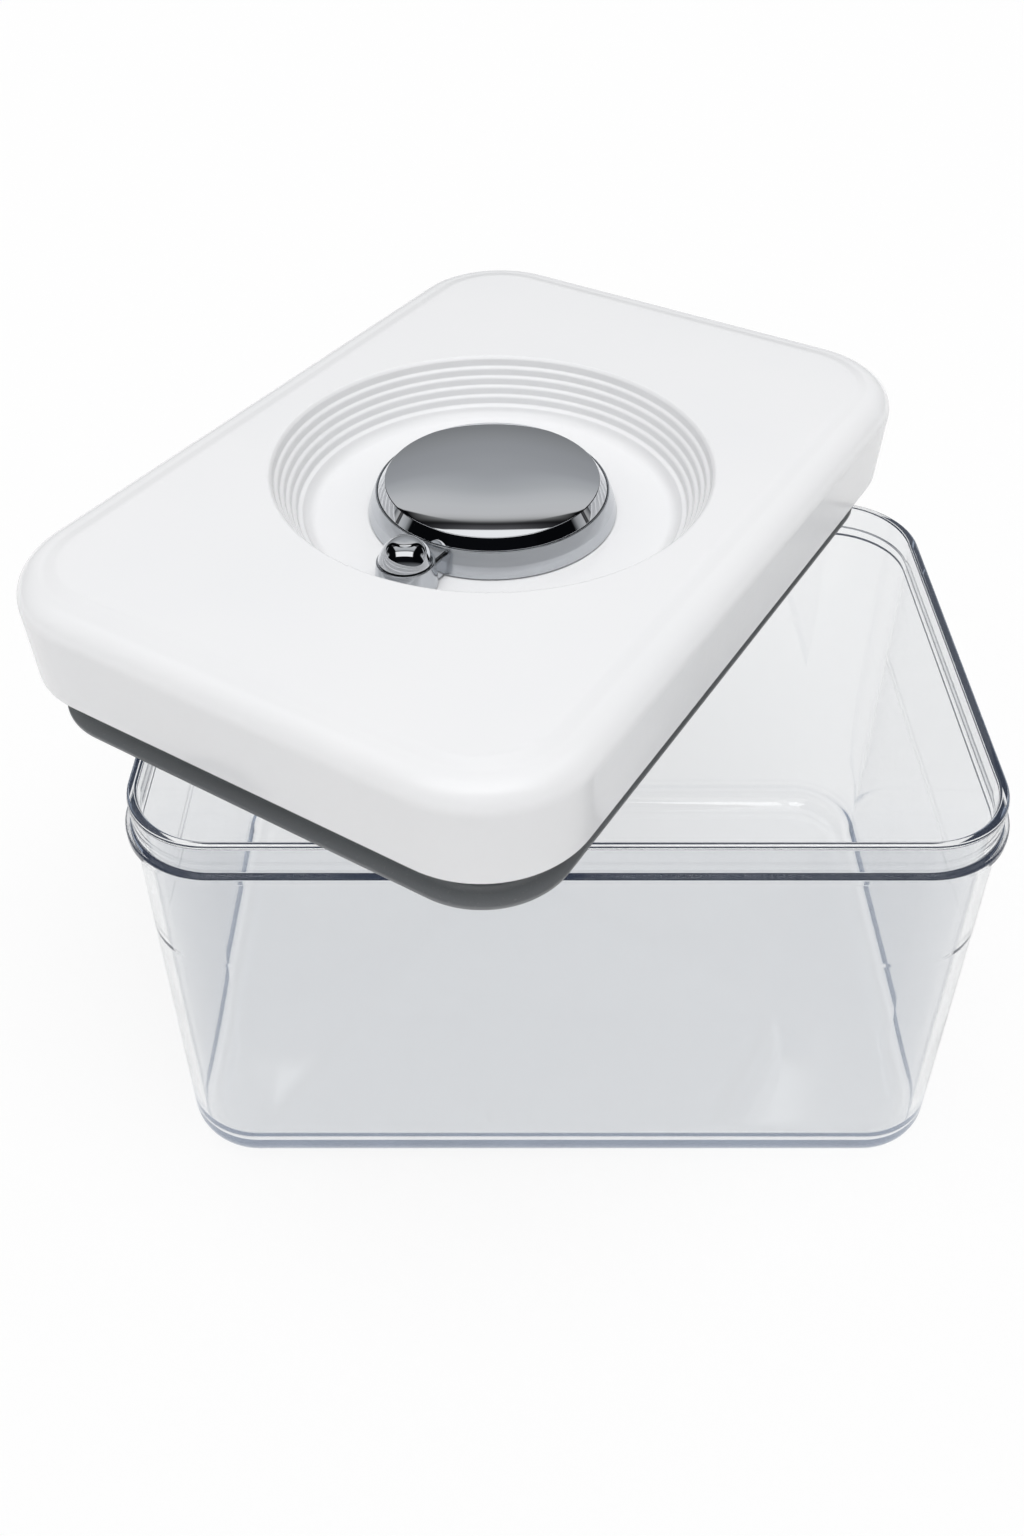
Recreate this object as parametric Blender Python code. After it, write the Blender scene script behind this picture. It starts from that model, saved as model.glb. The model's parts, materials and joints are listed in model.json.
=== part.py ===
"""Airtight storage jar: a clear rectangular tub and a white lid that pumps the air out.

The lid lies on the rim as in the photograph, lifted off its seat and turned about the vertical.
Turning the chrome knob by its small finger post drives a two-ended piston pump between the cover
and the tray under it. Pressing the knob's domed top opens a vent valve and lets the air back in.

Lengths are in metres, +Z is up, and the origin is the middle of the tub's standing face.
Lid pieces are modelled in the lid's own frame: X along its long side, Z = 0 at the top panel.
"""

import math

import bmesh
import bpy
from mathutils import Matrix, Vector

# Clearances that several pieces share
SEAT_GAP = 0.0003
RUNNING_GAP = 0.00015
CUT_OVERRUN = 0.002

# Clear tub
TUB_LENGTH = 0.168
TUB_WIDTH = 0.115
TUB_HEIGHT = 0.099
TUB_CORNER_RADIUS = 0.018
TUB_WALL = 0.0020
TUB_DRAFT = 0.0018
TUB_BASE_THICKNESS = 0.0034
TUB_BASE_FILLET = 0.0060
TUB_INNER_FILLET = 0.0060
FILL_LINE_HEIGHT = 0.0650
FILL_LINE_STEP = 0.0003
RIM_BAND_HEIGHT = 0.0066
RIM_EDGE_RADIUS = 0.0008
BEAD_REACH = 0.0015
BEAD_HEIGHT = 0.0024

# Where the lid lies on the tub
LID_TURN = math.radians(58.3)
LID_X = -0.0148
LID_Y = 0.0226
LID_LIP_DROP = 0.0105

# White cover
COVER_HEIGHT = 0.0225
COVER_OVERHANG = 0.0055
COVER_WALL = 0.0026
COVER_TOP = 0.0022
COVER_DRAFT = 0.0015
COVER_EDGE_RADIUS = 0.0050
PANEL_INSET = 0.0085
PANEL_RISE = 0.0004
LEDGE_REACH = 0.0016
LEDGE_HEIGHT = 0.0015

# Round dish in the cover
DISH_DEPTH = 0.0122
DISH_LIP_RADIUS = 0.0006
DISH_FLOOR_FILLET = 0.0020
RIDGE_COUNT = 5
RIDGE_WIDTH = 0.0011
RIDGE_FALL_SHARE = 0.30
RIDGE_DROP_SHARE = 0.82

# Inner tray, whose wall plugs the tub's mouth
TRAY_WALL = 0.0022
TRAY_FLOOR = 0.0020
TRAY_FLANGE = 0.0020
TRAY_CHAMFER = 0.0025
PLUG_CLEARANCE = 0.0022
GROOVE_DEPTH = 0.0012
GROOVE_HEIGHT = 0.0020
KEEPER_REACH = 0.0004
KEEPER_HEIGHT = 0.0008
VENT_HOLE_RADIUS = 0.0030
VENT_RECESS_RADIUS = 0.0085
VENT_RECESS_DEPTH = 0.0039

# Silicone gasket
LIP_PRESS = 0.0022
LIP_THICKNESS = 0.0008
GASKET_BODY_REACH = 0.0009

# Knob: dome button inside a turned skirt with an arm and a finger post
DOME_RADIUS = 0.0245
DOME_RISE = 0.0018
DOME_POWER = 3
DOME_EDGE_RADIUS = 0.0008
DOME_WALL = 0.0012
DOME_SKIRT = 0.0022
BUTTON_TRAVEL = 0.0020
KNOB_RIM_DROP = 0.0055
KNOB_RIM_WALL = 0.0008
KNOB_TAPER = 0.0005
KNOB_FLARE = 0.0009
KNOB_STEP_SHARE = 0.58
KNOB_FLOOR = 0.0018
POST_FOOT_RADIUS = 0.0064
POST_TOP_RADIUS = 0.0055
POST_SETBACK = 0.0054
POST_SWEEP_CLEARANCE = 0.0001
CAP_RADIUS = 0.0054
CAP_PEG_RADIUS = 0.0015
CAP_PEG_LENGTH = 0.0025
ARM_WIDTH = 0.0104
ARM_DROP = 0.0004
ARM_EDGE = 0.0008

# Spindle, bush, clip and cam
SPINDLE_RADIUS = 0.0035
SPINDLE_BORE_RADIUS = 0.0020
SPINDLE_FLANGE_RADIUS = 0.0058
SPINDLE_FLANGE = 0.0008
BUSH_WALL = 0.0018
BUSH_FLANGE_REACH = 0.0021
BUSH_FLANGE = 0.0010
CLIP_RADIUS = 0.0060
CLIP_THICKNESS = 0.0006
CAM_RADIUS = 0.0090
CAM_THROW = 0.0030
CAM_THICKNESS = 0.0029

# Vent stem, seal and spring
STEM_RADIUS = 0.0016
STEM_HEAD_RADIUS = 0.0035
STEM_HEAD = 0.0008
BOSS_WALL = 0.0012
VENT_SEAL_RADIUS = 0.0055
VENT_SEAL_THICKNESS = 0.0012
SPRING_RADIUS = 0.0078
SPRING_WIRE_RADIUS = 0.00035
SPRING_TURNS = 2

# Two-ended piston and its cylinders
YOKE_RIM = 0.0030
YOKE_CORNER_RADIUS = 0.0030
ROD_RADIUS = 0.0014
ROD_COVER = 0.0001
ROD_ROOT = 0.0010
PISTON_RADIUS = 0.0043
PISTON_LENGTH = 0.0040
PISTON_GROOVE_DEPTH = 0.0010
PISTON_GROOVE_WIDTH = 0.0020
BORE_CLEARANCE = 0.0003
CYLINDER_WALL = 0.0014
CYLINDER_END_WALL = 0.0020
VALVE_CHAMBER_RADIUS = 0.0036
VALVE_BLOCK_WALL = 0.0014
VALVE_BLOCK_TOP = 0.0020
AIR_PORT_RADIUS = 0.0015
LUG_REACH = 0.0052
LUG_LENGTH = 0.0065
LUG_THICKNESS = 0.0020
LUG_RISE = 0.0030

# Check valves
VALVE_DISC_RADIUS = 0.0030
VALVE_DISC = 0.0006
VALVE_STEM_RADIUS = 0.0008
VALVE_BULB_RADIUS = 0.0012
VALVE_BULB = 0.0005
VALVE_SEAT = 0.0010
VALVE_RECESS_RADIUS = 0.0044
VALVE_PORT_RADIUS = 0.0005
VALVE_PORT_CIRCLE = 0.0021
VALVE_PORTS = 4

# Screws that hold the cylinders
SCREW_RADIUS = 0.0011
SCREW_HEAD_RADIUS = 0.0021
SCREW_HEAD = 0.0014
SCREW_LENGTH = 0.0058
SCREW_DRIVE_RADIUS = 0.0008
SCREW_DRIVE_DEPTH = 0.0007
SCREW_BOSS_WALL = 0.0012

# Facets: every ring that is lofted has as many points as a full turn of the dish
CORNER_STEPS = 8
SHORT_SIDE_STEPS = 1
LONG_SIDE_STEPS = 3
RING_STEPS = 4 * (CORNER_STEPS + SHORT_SIDE_STEPS + LONG_SIDE_STEPS)
SMALL_ROUND_STEPS = 20
PORT_STEPS = 10
FILLET_STEPS = 4
DOME_STEPS = 6
SPRING_TURN_STEPS = 10
FACET_TURN = math.radians(7)
SMOOTH_ANGLE = math.radians(30)

# Radii that follow from the dome, out to the dish that the finger post sweeps
KNOB_TOP_RADIUS = DOME_RADIUS + SEAT_GAP + KNOB_RIM_WALL
KNOB_STEP_RADIUS = KNOB_TOP_RADIUS + KNOB_TAPER
KNOB_FOOT_RADIUS = KNOB_STEP_RADIUS + KNOB_FLARE
CRANK_RADIUS = KNOB_FOOT_RADIUS + POST_SETBACK
DISH_FLOOR_RADIUS = CRANK_RADIUS + POST_FOOT_RADIUS + POST_SWEEP_CLEARANCE
DISH_FOOT_RADIUS = DISH_FLOOR_RADIUS + DISH_FLOOR_FILLET
DISH_RADIUS = DISH_FOOT_RADIUS + RIDGE_COUNT * RIDGE_WIDTH

# Heights in the lid's frame that several pieces share
COVER_BOTTOM = -COVER_HEIGHT
LIP_BOTTOM = COVER_BOTTOM - LID_LIP_DROP
DISH_FLOOR = -DISH_DEPTH
DISH_UNDERSIDE = DISH_FLOOR - COVER_TOP
TRAY_BOTTOM = LIP_BOTTOM + KEEPER_HEIGHT - SEAT_GAP / 2
TRAY_TOP = TRAY_BOTTOM + TRAY_FLOOR
FLANGE_BOTTOM = COVER_BOTTOM + RIM_BAND_HEIGHT - SEAT_GAP
KNOB_BOTTOM = DISH_FLOOR + SEAT_GAP
KNOB_FLOOR_BOTTOM = KNOB_BOTTOM + SEAT_GAP
KNOB_FLOOR_TOP = KNOB_FLOOR_BOTTOM + KNOB_FLOOR
KNOB_RIM = -KNOB_RIM_DROP
DOME_EDGE = KNOB_RIM + SEAT_GAP
DOME_CROWN = DOME_EDGE + DOME_EDGE_RADIUS + DOME_RISE
BUSH_BOTTOM = DISH_UNDERSIDE - SEAT_GAP - BUSH_FLANGE
CLIP_TOP = BUSH_BOTTOM - SEAT_GAP
CAM_TOP = CLIP_TOP - CLIP_THICKNESS - SEAT_GAP
CAM_BOTTOM = CAM_TOP - CAM_THICKNESS
YOKE_THICKNESS = 2 * (ROD_RADIUS + ROD_COVER)
YOKE_TOP = CAM_BOTTOM - SEAT_GAP
PUMP_AXIS = YOKE_TOP - YOKE_THICKNESS / 2

# Lengths along the pump's axis that several pieces share
PLUG_INSET = TUB_WALL + PLUG_CLEARANCE
YOKE_WINDOW_X = CAM_RADIUS + SEAT_GAP
YOKE_WINDOW_Y = CAM_RADIUS + CAM_THROW + SEAT_GAP
YOKE_HALF_LENGTH = YOKE_WINDOW_X + YOKE_RIM
BORE_RADIUS = PISTON_RADIUS + BORE_CLEARANCE
CYLINDER_RADIUS = BORE_RADIUS + CYLINDER_WALL
CYLINDER_MOUTH = YOKE_HALF_LENGTH + CAM_THROW + SEAT_GAP
PISTON_START = CYLINDER_MOUTH + CAM_THROW + SEAT_GAP
PISTON_END = PISTON_START + PISTON_LENGTH
BORE_END = PISTON_END + CAM_THROW + SEAT_GAP
CHAMBER_X = BORE_END + CYLINDER_END_WALL + VALVE_CHAMBER_RADIUS
BLOCK_END = CHAMBER_X + VALVE_CHAMBER_RADIUS + VALVE_BLOCK_WALL
BLOCK_HALF_WIDTH = VALVE_CHAMBER_RADIUS + VALVE_BLOCK_WALL
LUG_X = CYLINDER_MOUTH + LUG_LENGTH / 2
LUG_Y = CYLINDER_RADIUS + LUG_REACH / 2
LUG_BOTTOM = TRAY_TOP + LUG_RISE + SEAT_GAP


def clear_scene():
    for obj in list(bpy.data.objects):
        bpy.data.objects.remove(obj, do_unlink=True)


def finish(name, colour, roughness, metallic=0, transmission=0, ior=1.5):
    """A Principled material with the piece's plain colour."""
    material = bpy.data.materials.new(name)
    material.use_nodes = True
    shader = material.node_tree.nodes["Principled BSDF"]
    shader.inputs["Base Color"].default_value = (*colour, 1)
    shader.inputs["Roughness"].default_value = roughness
    shader.inputs["Metallic"].default_value = metallic
    shader.inputs["Transmission Weight"].default_value = transmission
    shader.inputs["IOR"].default_value = ior
    material.diffuse_color = (*colour, 1)
    return material


def object_from(name, bm, material, parent=None, helper=False):
    """Turns a bmesh into a smooth-shaded object; a helper only cuts or joins, and isn't rendered."""
    bmesh.ops.recalc_face_normals(bm, faces=bm.faces)
    mesh = bpy.data.meshes.new(name)
    bm.to_mesh(mesh)
    bm.free()
    mesh.shade_smooth()
    mesh.set_sharp_from_angle(angle=SMOOTH_ANGLE)
    obj = bpy.data.objects.new(name, mesh)
    bpy.context.scene.collection.objects.link(obj)
    if material:
        mesh.materials.append(material)
    if parent:
        obj.parent = parent
    if helper:
        obj.hide_render = True
        obj.display_type = "WIRE"
    return obj


def pivot(name, location=(0, 0, 0), turn=0, parent=None):
    """An empty that marks a body's frame or a joint's axis."""
    empty = bpy.data.objects.new(name, None)
    bpy.context.scene.collection.objects.link(empty)
    empty.location = location
    empty.rotation_euler = (0, 0, turn)
    empty.parent = parent
    return empty


def circle_ring(radius, z, centre=(0, 0), steps=RING_STEPS):
    """Points of a level circle, counted from +X."""
    angles = [math.tau * step / steps for step in range(steps)]
    return [
        Vector((centre[0] + radius * math.cos(a), centre[1] + radius * math.sin(a), z))
        for a in angles
    ]


def rounded_ring(half_x, half_y, radius, z):
    """Points of a level rounded rectangle, counted from +X, as many as in circle_ring."""
    first = [
        (half_x, (half_y - radius) * step / SHORT_SIDE_STEPS)
        for step in range(SHORT_SIDE_STEPS)
    ]
    for step in range(CORNER_STEPS + 1):
        angle = math.pi / 2 * step / CORNER_STEPS
        first.append((half_x - radius + radius * math.cos(angle),
                      half_y - radius + radius * math.sin(angle)))
    first += [
        ((half_x - radius) * (1 - step / LONG_SIDE_STEPS), half_y)
        for step in range(1, LONG_SIDE_STEPS + 1)
    ]
    outline = first
    outline = outline + [(-x, y) for x, y in reversed(first[:-1])]
    outline = outline + [(-x, -y) for x, y in first[1:]]
    outline = outline + [(x, -y) for x, y in reversed(first[1:-1])]
    return [Vector((x, y, z)) for x, y in outline]


def rim_ring(inset, z):
    """The tub's rim outline, drawn in by an inset, or let out by a negative one."""
    return rounded_ring(TUB_LENGTH / 2 - inset, TUB_WIDTH / 2 - inset, TUB_CORNER_RADIUS - inset, z)


def fillet(centre, radius, start, end, steps=FILLET_STEPS):
    """Profile points on an arc about a centre, from one angle in degrees to another."""
    points = []
    for step in range(steps + 1):
        angle = math.radians(start + (end - start) * step / steps)
        points.append((centre[0] + radius * math.cos(angle), centre[1] + radius * math.sin(angle)))
    return points


def loft(name, rings, material, parent=None, closed=False, helper=False):
    """Skins rings of equal count, one to the next: back to the first one, or with flat ends."""
    bm = bmesh.new()
    loops = [[bm.verts.new(point) for point in ring] for ring in rings]
    pairs = list(zip(loops, loops[1:]))
    if closed:
        pairs.append((loops[-1], loops[0]))
    else:
        bm.faces.new(loops[0])
        bm.faces.new(loops[-1])
    for low, high in pairs:
        count = len(low)
        for i in range(count):
            j = (i + 1) % count
            bm.faces.new((low[i], low[j], high[j], high[i]))
    return object_from(name, bm, material, parent, helper)


def turned(name, profile, material, parent=None, steps=RING_STEPS, helper=False):
    """Spins a profile of (radius, height) points about Z; a solid one starts and ends on the axis."""
    bm = bmesh.new()
    verts = [bm.verts.new((radius, 0, height)) for radius, height in profile]
    edges = [bm.edges.new(pair) for pair in zip(verts, verts[1:])]
    if profile[0][0] > 0:
        edges.append(bm.edges.new((verts[-1], verts[0])))
    bmesh.ops.spin(bm, geom=verts + edges, cent=(0, 0, 0), axis=(0, 0, 1),
                   angle=math.tau, steps=steps, use_merge=True)
    bmesh.ops.remove_doubles(bm, verts=bm.verts, dist=SEAT_GAP / 100)
    return object_from(name, bm, material, parent, helper)


def block(name, low, high, material, parent=None, bevel=0, helper=False):
    """A box between two corners, with its edges rounded if a bevel is given."""
    bm = bmesh.new()
    bmesh.ops.create_cube(bm, size=1)
    size = Vector(high) - Vector(low)
    middle = (Vector(high) + Vector(low)) / 2
    bmesh.ops.transform(bm, matrix=Matrix.Translation(middle) @ Matrix.Diagonal((*size, 1)),
                        verts=bm.verts)
    if bevel:
        bmesh.ops.bevel(bm, geom=bm.edges, offset=bevel, segments=2, profile=0.5, affect="EDGES")
    return object_from(name, bm, material, parent, helper)


def drill(name, places, radius, low, high, parent, steps=SMALL_ROUND_STEPS):
    """One helper with an upright round bar at each (x, y) place."""
    bm = bmesh.new()
    for x, y in places:
        where = Matrix.Translation((x, y, (low + high) / 2)) @ Matrix.Rotation(FACET_TURN, 4, "Z")
        bmesh.ops.create_cone(bm, cap_ends=True, segments=steps, radius1=radius, radius2=radius,
                              depth=high - low, matrix=where)
    return object_from(name, bm, None, parent, helper=True)


def rod(name, start, end, radius, parent, steps=SMALL_ROUND_STEPS):
    """A helper cylinder from one point to another."""
    along = Vector(end) - Vector(start)
    obj = drill(name, [(0, 0)], radius, 0, along.length, parent, steps)
    obj.location = start
    obj.rotation_euler = along.to_track_quat("Z", "Y").to_euler()
    return obj


def combine(obj, helper, operation):
    """Adds one exact Boolean to an object."""
    modifier = obj.modifiers.new(helper.name, "BOOLEAN")
    modifier.object = helper
    modifier.operation = operation
    modifier.solver = "EXACT"


def cut(obj, *helpers):
    for helper in helpers:
        combine(obj, helper, "DIFFERENCE")


def join(obj, *helpers):
    for helper in helpers:
        combine(obj, helper, "UNION")


def make_tub(material):
    """One clear moulding: rim band over an outward bead, drafted walls, thick filleted base.

    A fine step runs round the inside as the fill line."""
    wall_slope = TUB_DRAFT / TUB_HEIGHT

    def wall(z):
        return (TUB_HEIGHT - z) * wall_slope

    bead_top = TUB_HEIGHT - RIM_BAND_HEIGHT
    bead_bottom = bead_top - BEAD_HEIGHT
    outside = fillet((wall(0) + TUB_BASE_FILLET, TUB_BASE_FILLET), TUB_BASE_FILLET, 270, 180)
    outside.append((wall(bead_bottom), bead_bottom))
    middle = (wall(bead_top), (bead_top + bead_bottom) / 2)
    bead = fillet((0, 0), 1, 240, 120)
    outside += [(middle[0] + x * BEAD_REACH, middle[1] + y * BEAD_HEIGHT / 2) for x, y in bead]
    outside.append((wall(bead_top), bead_top))
    edge = RIM_EDGE_RADIUS
    outside += fillet((edge, TUB_HEIGHT - edge), edge, 180, 90, FILLET_STEPS // 2)
    inside = fillet((TUB_WALL - edge, TUB_HEIGHT - edge), edge, 90, 0, FILLET_STEPS // 2)
    inside.append((TUB_WALL + wall(FILL_LINE_HEIGHT), FILL_LINE_HEIGHT + FILL_LINE_STEP / 2))
    inside.append((TUB_WALL + wall(FILL_LINE_HEIGHT) + FILL_LINE_STEP, FILL_LINE_HEIGHT - FILL_LINE_STEP / 2))
    reach = TUB_WALL + FILL_LINE_STEP + wall(TUB_BASE_THICKNESS) + TUB_INNER_FILLET
    inside += fillet((reach, TUB_BASE_THICKNESS + TUB_INNER_FILLET), TUB_INNER_FILLET, 180, 270)
    rings = [rim_ring(inset, z) for inset, z in outside + inside]
    return loft("tub", rings, material)


def cover_ring(inset, z):
    return rim_ring(inset - COVER_OVERHANG, z)


def make_cover(material, lid):
    """White shell with a rounded top edge, a soft crease round the top panel and the ridged dish.

    A ledge round its inner wall is what the tray's flange is welded up to."""
    edge = COVER_EDGE_RADIUS
    outside = [cover_ring(COVER_DRAFT, COVER_BOTTOM)]
    outside += [cover_ring(*point) for point in fillet((edge, -PANEL_RISE - edge), edge, 180, 90)]
    outside.append(cover_ring((edge + PANEL_INSET) / 2, -PANEL_RISE * 0.7))
    outside.append(cover_ring(PANEL_INSET, 0))
    ridge_drop = (DISH_DEPTH - DISH_LIP_RADIUS - DISH_FLOOR_FILLET) / RIDGE_COUNT
    dish = [(DISH_RADIUS + DISH_LIP_RADIUS, 0)]
    for ridge in range(RIDGE_COUNT):
        radius = DISH_RADIUS - ridge * RIDGE_WIDTH
        z = -DISH_LIP_RADIUS - ridge * ridge_drop
        dish.append((radius, z))
        dish.append((radius - RIDGE_WIDTH * RIDGE_FALL_SHARE, z - ridge_drop * RIDGE_DROP_SHARE))
    dish += fillet((DISH_FLOOR_RADIUS, DISH_FLOOR + DISH_FLOOR_FILLET), DISH_FLOOR_FILLET, 0, -90)
    hole = SPINDLE_RADIUS + RUNNING_GAP + BUSH_WALL + SEAT_GAP
    dish += [(hole, DISH_FLOOR), (hole, DISH_UNDERSIDE), (DISH_FOOT_RADIUS, DISH_UNDERSIDE)]
    dish.append((DISH_RADIUS + COVER_TOP, -COVER_TOP))
    inner_wall = COVER_DRAFT + COVER_WALL
    inside = [(inner_wall + edge / 2, -COVER_TOP), (COVER_WALL + COVER_DRAFT / 2, -COVER_TOP - edge / 2)]
    ledge_bottom = FLANGE_BOTTOM + TRAY_FLANGE + SEAT_GAP
    ledge_top = ledge_bottom + LEDGE_HEIGHT
    inside += [(inner_wall, ledge_top + LEDGE_REACH), (inner_wall + LEDGE_REACH, ledge_top)]
    inside += [(inner_wall + LEDGE_REACH, ledge_bottom), (inner_wall, ledge_bottom)]
    inside.append((inner_wall, COVER_BOTTOM))
    rings = outside + [circle_ring(*point) for point in dish] + [cover_ring(*point) for point in inside]
    return loft("lid_cover", rings, material, lid, closed=True)


def make_tray(material, lid):
    """Inner tray: flange under the cover, plug wall with the gasket groove, floor with the vent."""
    plug = PLUG_INSET
    inner = plug + TRAY_WALL
    flange_edge = COVER_DRAFT + COVER_WALL - COVER_OVERHANG + SEAT_GAP
    flange_top = FLANGE_BOTTOM + TRAY_FLANGE
    groove_bottom = TRAY_BOTTOM + KEEPER_HEIGHT
    groove_top = groove_bottom + GROOVE_HEIGHT
    vent_ceiling = TRAY_BOTTOM + VENT_RECESS_DEPTH
    inside = [circle_ring(VENT_HOLE_RADIUS, vent_ceiling + TRAY_FLOOR)]
    inside.append(circle_ring(VENT_RECESS_RADIUS + TRAY_FLOOR, vent_ceiling + TRAY_FLOOR))
    inside.append(circle_ring(VENT_RECESS_RADIUS + TRAY_FLOOR + TRAY_CHAMFER / 2, TRAY_TOP))
    outline = [(inner + TRAY_CHAMFER, TRAY_TOP), (inner, TRAY_TOP + TRAY_CHAMFER), (inner, flange_top)]
    outline += [(flange_edge, flange_top), (flange_edge, FLANGE_BOTTOM), (plug, FLANGE_BOTTOM)]
    outline += [(plug, groove_top), (plug + GROOVE_DEPTH, groove_top), (plug + GROOVE_DEPTH, groove_bottom)]
    outline += [(plug - KEEPER_REACH, groove_bottom), (plug - KEEPER_REACH, TRAY_BOTTOM)]
    rings = inside + [rim_ring(*point) for point in outline]
    rings.append(circle_ring(VENT_RECESS_RADIUS + TRAY_CHAMFER / 2, TRAY_BOTTOM))
    rings.append(circle_ring(VENT_RECESS_RADIUS, vent_ceiling))
    rings.append(circle_ring(VENT_HOLE_RADIUS, vent_ceiling))
    tray = loft("lid_tray", rings, material, lid, closed=True)
    boss_top = LUG_BOTTOM - SEAT_GAP
    hole_radius = SCREW_RADIUS + SEAT_GAP
    hole_bottom = LUG_BOTTOM + LUG_THICKNESS - SCREW_LENGTH - SEAT_GAP
    bosses = [(side * LUG_X, flank * LUG_Y) for side in (1, -1) for flank in (1, -1)]
    valves = [(side * CHAMBER_X, 0) for side in (1, -1)]
    ports = [(x + px, py) for x, _ in valves for px, py in port_places()]
    low, high = TRAY_BOTTOM - CUT_OVERRUN, TRAY_TOP + CUT_OVERRUN
    join(tray, drill("bosses", bosses, hole_radius + SCREW_BOSS_WALL, TRAY_TOP - TRAY_FLOOR / 2,
                     boss_top, lid))
    cut(tray, drill("boss_holes", bosses, hole_radius, hole_bottom, boss_top + CUT_OVERRUN, lid))
    cut(tray, drill("valve_recesses", valves, VALVE_RECESS_RADIUS, low, TRAY_TOP - VALVE_SEAT, lid))
    cut(tray, drill("valve_holes", valves, VALVE_STEM_RADIUS + SEAT_GAP, low, high, lid))
    cut(tray, drill("valve_ports", ports, VALVE_PORT_RADIUS, low, high, lid, PORT_STEPS))
    return tray


def make_gasket(material, lid):
    """Silicone ring: a body in the plug's groove and a lip that flares out and down."""
    plug = PLUG_INSET
    bottom = TRAY_BOTTOM + KEEPER_HEIGHT + SEAT_GAP
    top = TRAY_BOTTOM + KEEPER_HEIGHT + GROOVE_HEIGHT - SEAT_GAP
    inner = plug + GROOVE_DEPTH - SEAT_GAP
    body = plug - GASKET_BODY_REACH
    tip = TUB_WALL - LIP_PRESS
    profile = [(inner, top), (body, top), (body - LIP_THICKNESS / 2, (top + bottom) / 2)]
    profile += [(tip, LIP_BOTTOM + LIP_THICKNESS), (tip, LIP_BOTTOM), (tip + LIP_THICKNESS, LIP_BOTTOM)]
    profile += [(body, bottom), (inner, bottom)]
    return loft("gasket", [rim_ring(*point) for point in profile], material, lid, closed=True)


def dome_curve(steps):
    """Profile of the dome, (radius, fall from its crown): flat in the middle and steeper outwards."""
    reach = DOME_RADIUS - DOME_EDGE_RADIUS
    shares = [step / steps for step in range(steps + 1)]
    return [(reach * share, DOME_RISE * share ** DOME_POWER) for share in shares]


def make_knob(material, crank):
    """Knob body: a tapered ring with a stepped foot, its floor, the arm and the finger post."""
    height = KNOB_RIM - KNOB_BOTTOM
    step = KNOB_RIM - height * KNOB_STEP_SHARE
    step_reach = (KNOB_FOOT_RADIUS - KNOB_STEP_RADIUS) / 3
    inner = DOME_RADIUS + SEAT_GAP
    floor_hole = SPINDLE_RADIUS + SEAT_GAP
    profile = [(KNOB_TOP_RADIUS, KNOB_RIM), (KNOB_STEP_RADIUS, step)]
    profile += [(KNOB_STEP_RADIUS + step_reach, step - step_reach), (KNOB_FOOT_RADIUS, KNOB_BOTTOM)]
    profile += [(inner - SEAT_GAP, KNOB_BOTTOM), (inner - SEAT_GAP, KNOB_FLOOR_BOTTOM)]
    profile += [(floor_hole, KNOB_FLOOR_BOTTOM), (floor_hole, KNOB_FLOOR_TOP)]
    profile += [(inner, KNOB_FLOOR_TOP), (inner, KNOB_RIM)]
    knob = turned("knob_body", profile, material, crank)
    arm = block("arm", (-CRANK_RADIUS, -ARM_WIDTH / 2, KNOB_BOTTOM + SEAT_GAP),
                (ARM_WIDTH / 2 - inner, ARM_WIDTH / 2, KNOB_RIM - ARM_DROP), None, crank, ARM_EDGE, helper=True)
    cut(arm, drill("arm_end", [(0, 0)], inner + SEAT_GAP, KNOB_BOTTOM - CUT_OVERRUN, KNOB_RIM + CUT_OVERRUN,
                   crank, RING_STEPS))
    post = turned("post", [(0, KNOB_BOTTOM), (POST_FOOT_RADIUS, KNOB_BOTTOM), (POST_TOP_RADIUS, KNOB_RIM),
                           (0, KNOB_RIM)], None, crank, SMALL_ROUND_STEPS, helper=True)
    post.location.x = -CRANK_RADIUS
    hole = rod("peg_hole", (-CRANK_RADIUS, 0, KNOB_RIM - CAP_PEG_LENGTH - SEAT_GAP),
               (-CRANK_RADIUS, 0, KNOB_RIM + CUT_OVERRUN), CAP_PEG_RADIUS + SEAT_GAP, crank)
    join(knob, arm, post)
    cut(knob, hole)
    return knob


def make_post_cap(material, crank):
    """Polished ball-shaped cap pressed into the finger post."""
    bottom = KNOB_RIM + SEAT_GAP
    profile = fillet((0, bottom), CAP_RADIUS, 90, 0, 6)
    profile += [(CAP_PEG_RADIUS, bottom), (CAP_PEG_RADIUS, KNOB_RIM - CAP_PEG_LENGTH)]
    profile.append((0, KNOB_RIM - CAP_PEG_LENGTH))
    cap = turned("post_cap", profile, material, crank, SMALL_ROUND_STEPS)
    cap.location.x = -CRANK_RADIUS
    return cap


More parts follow.
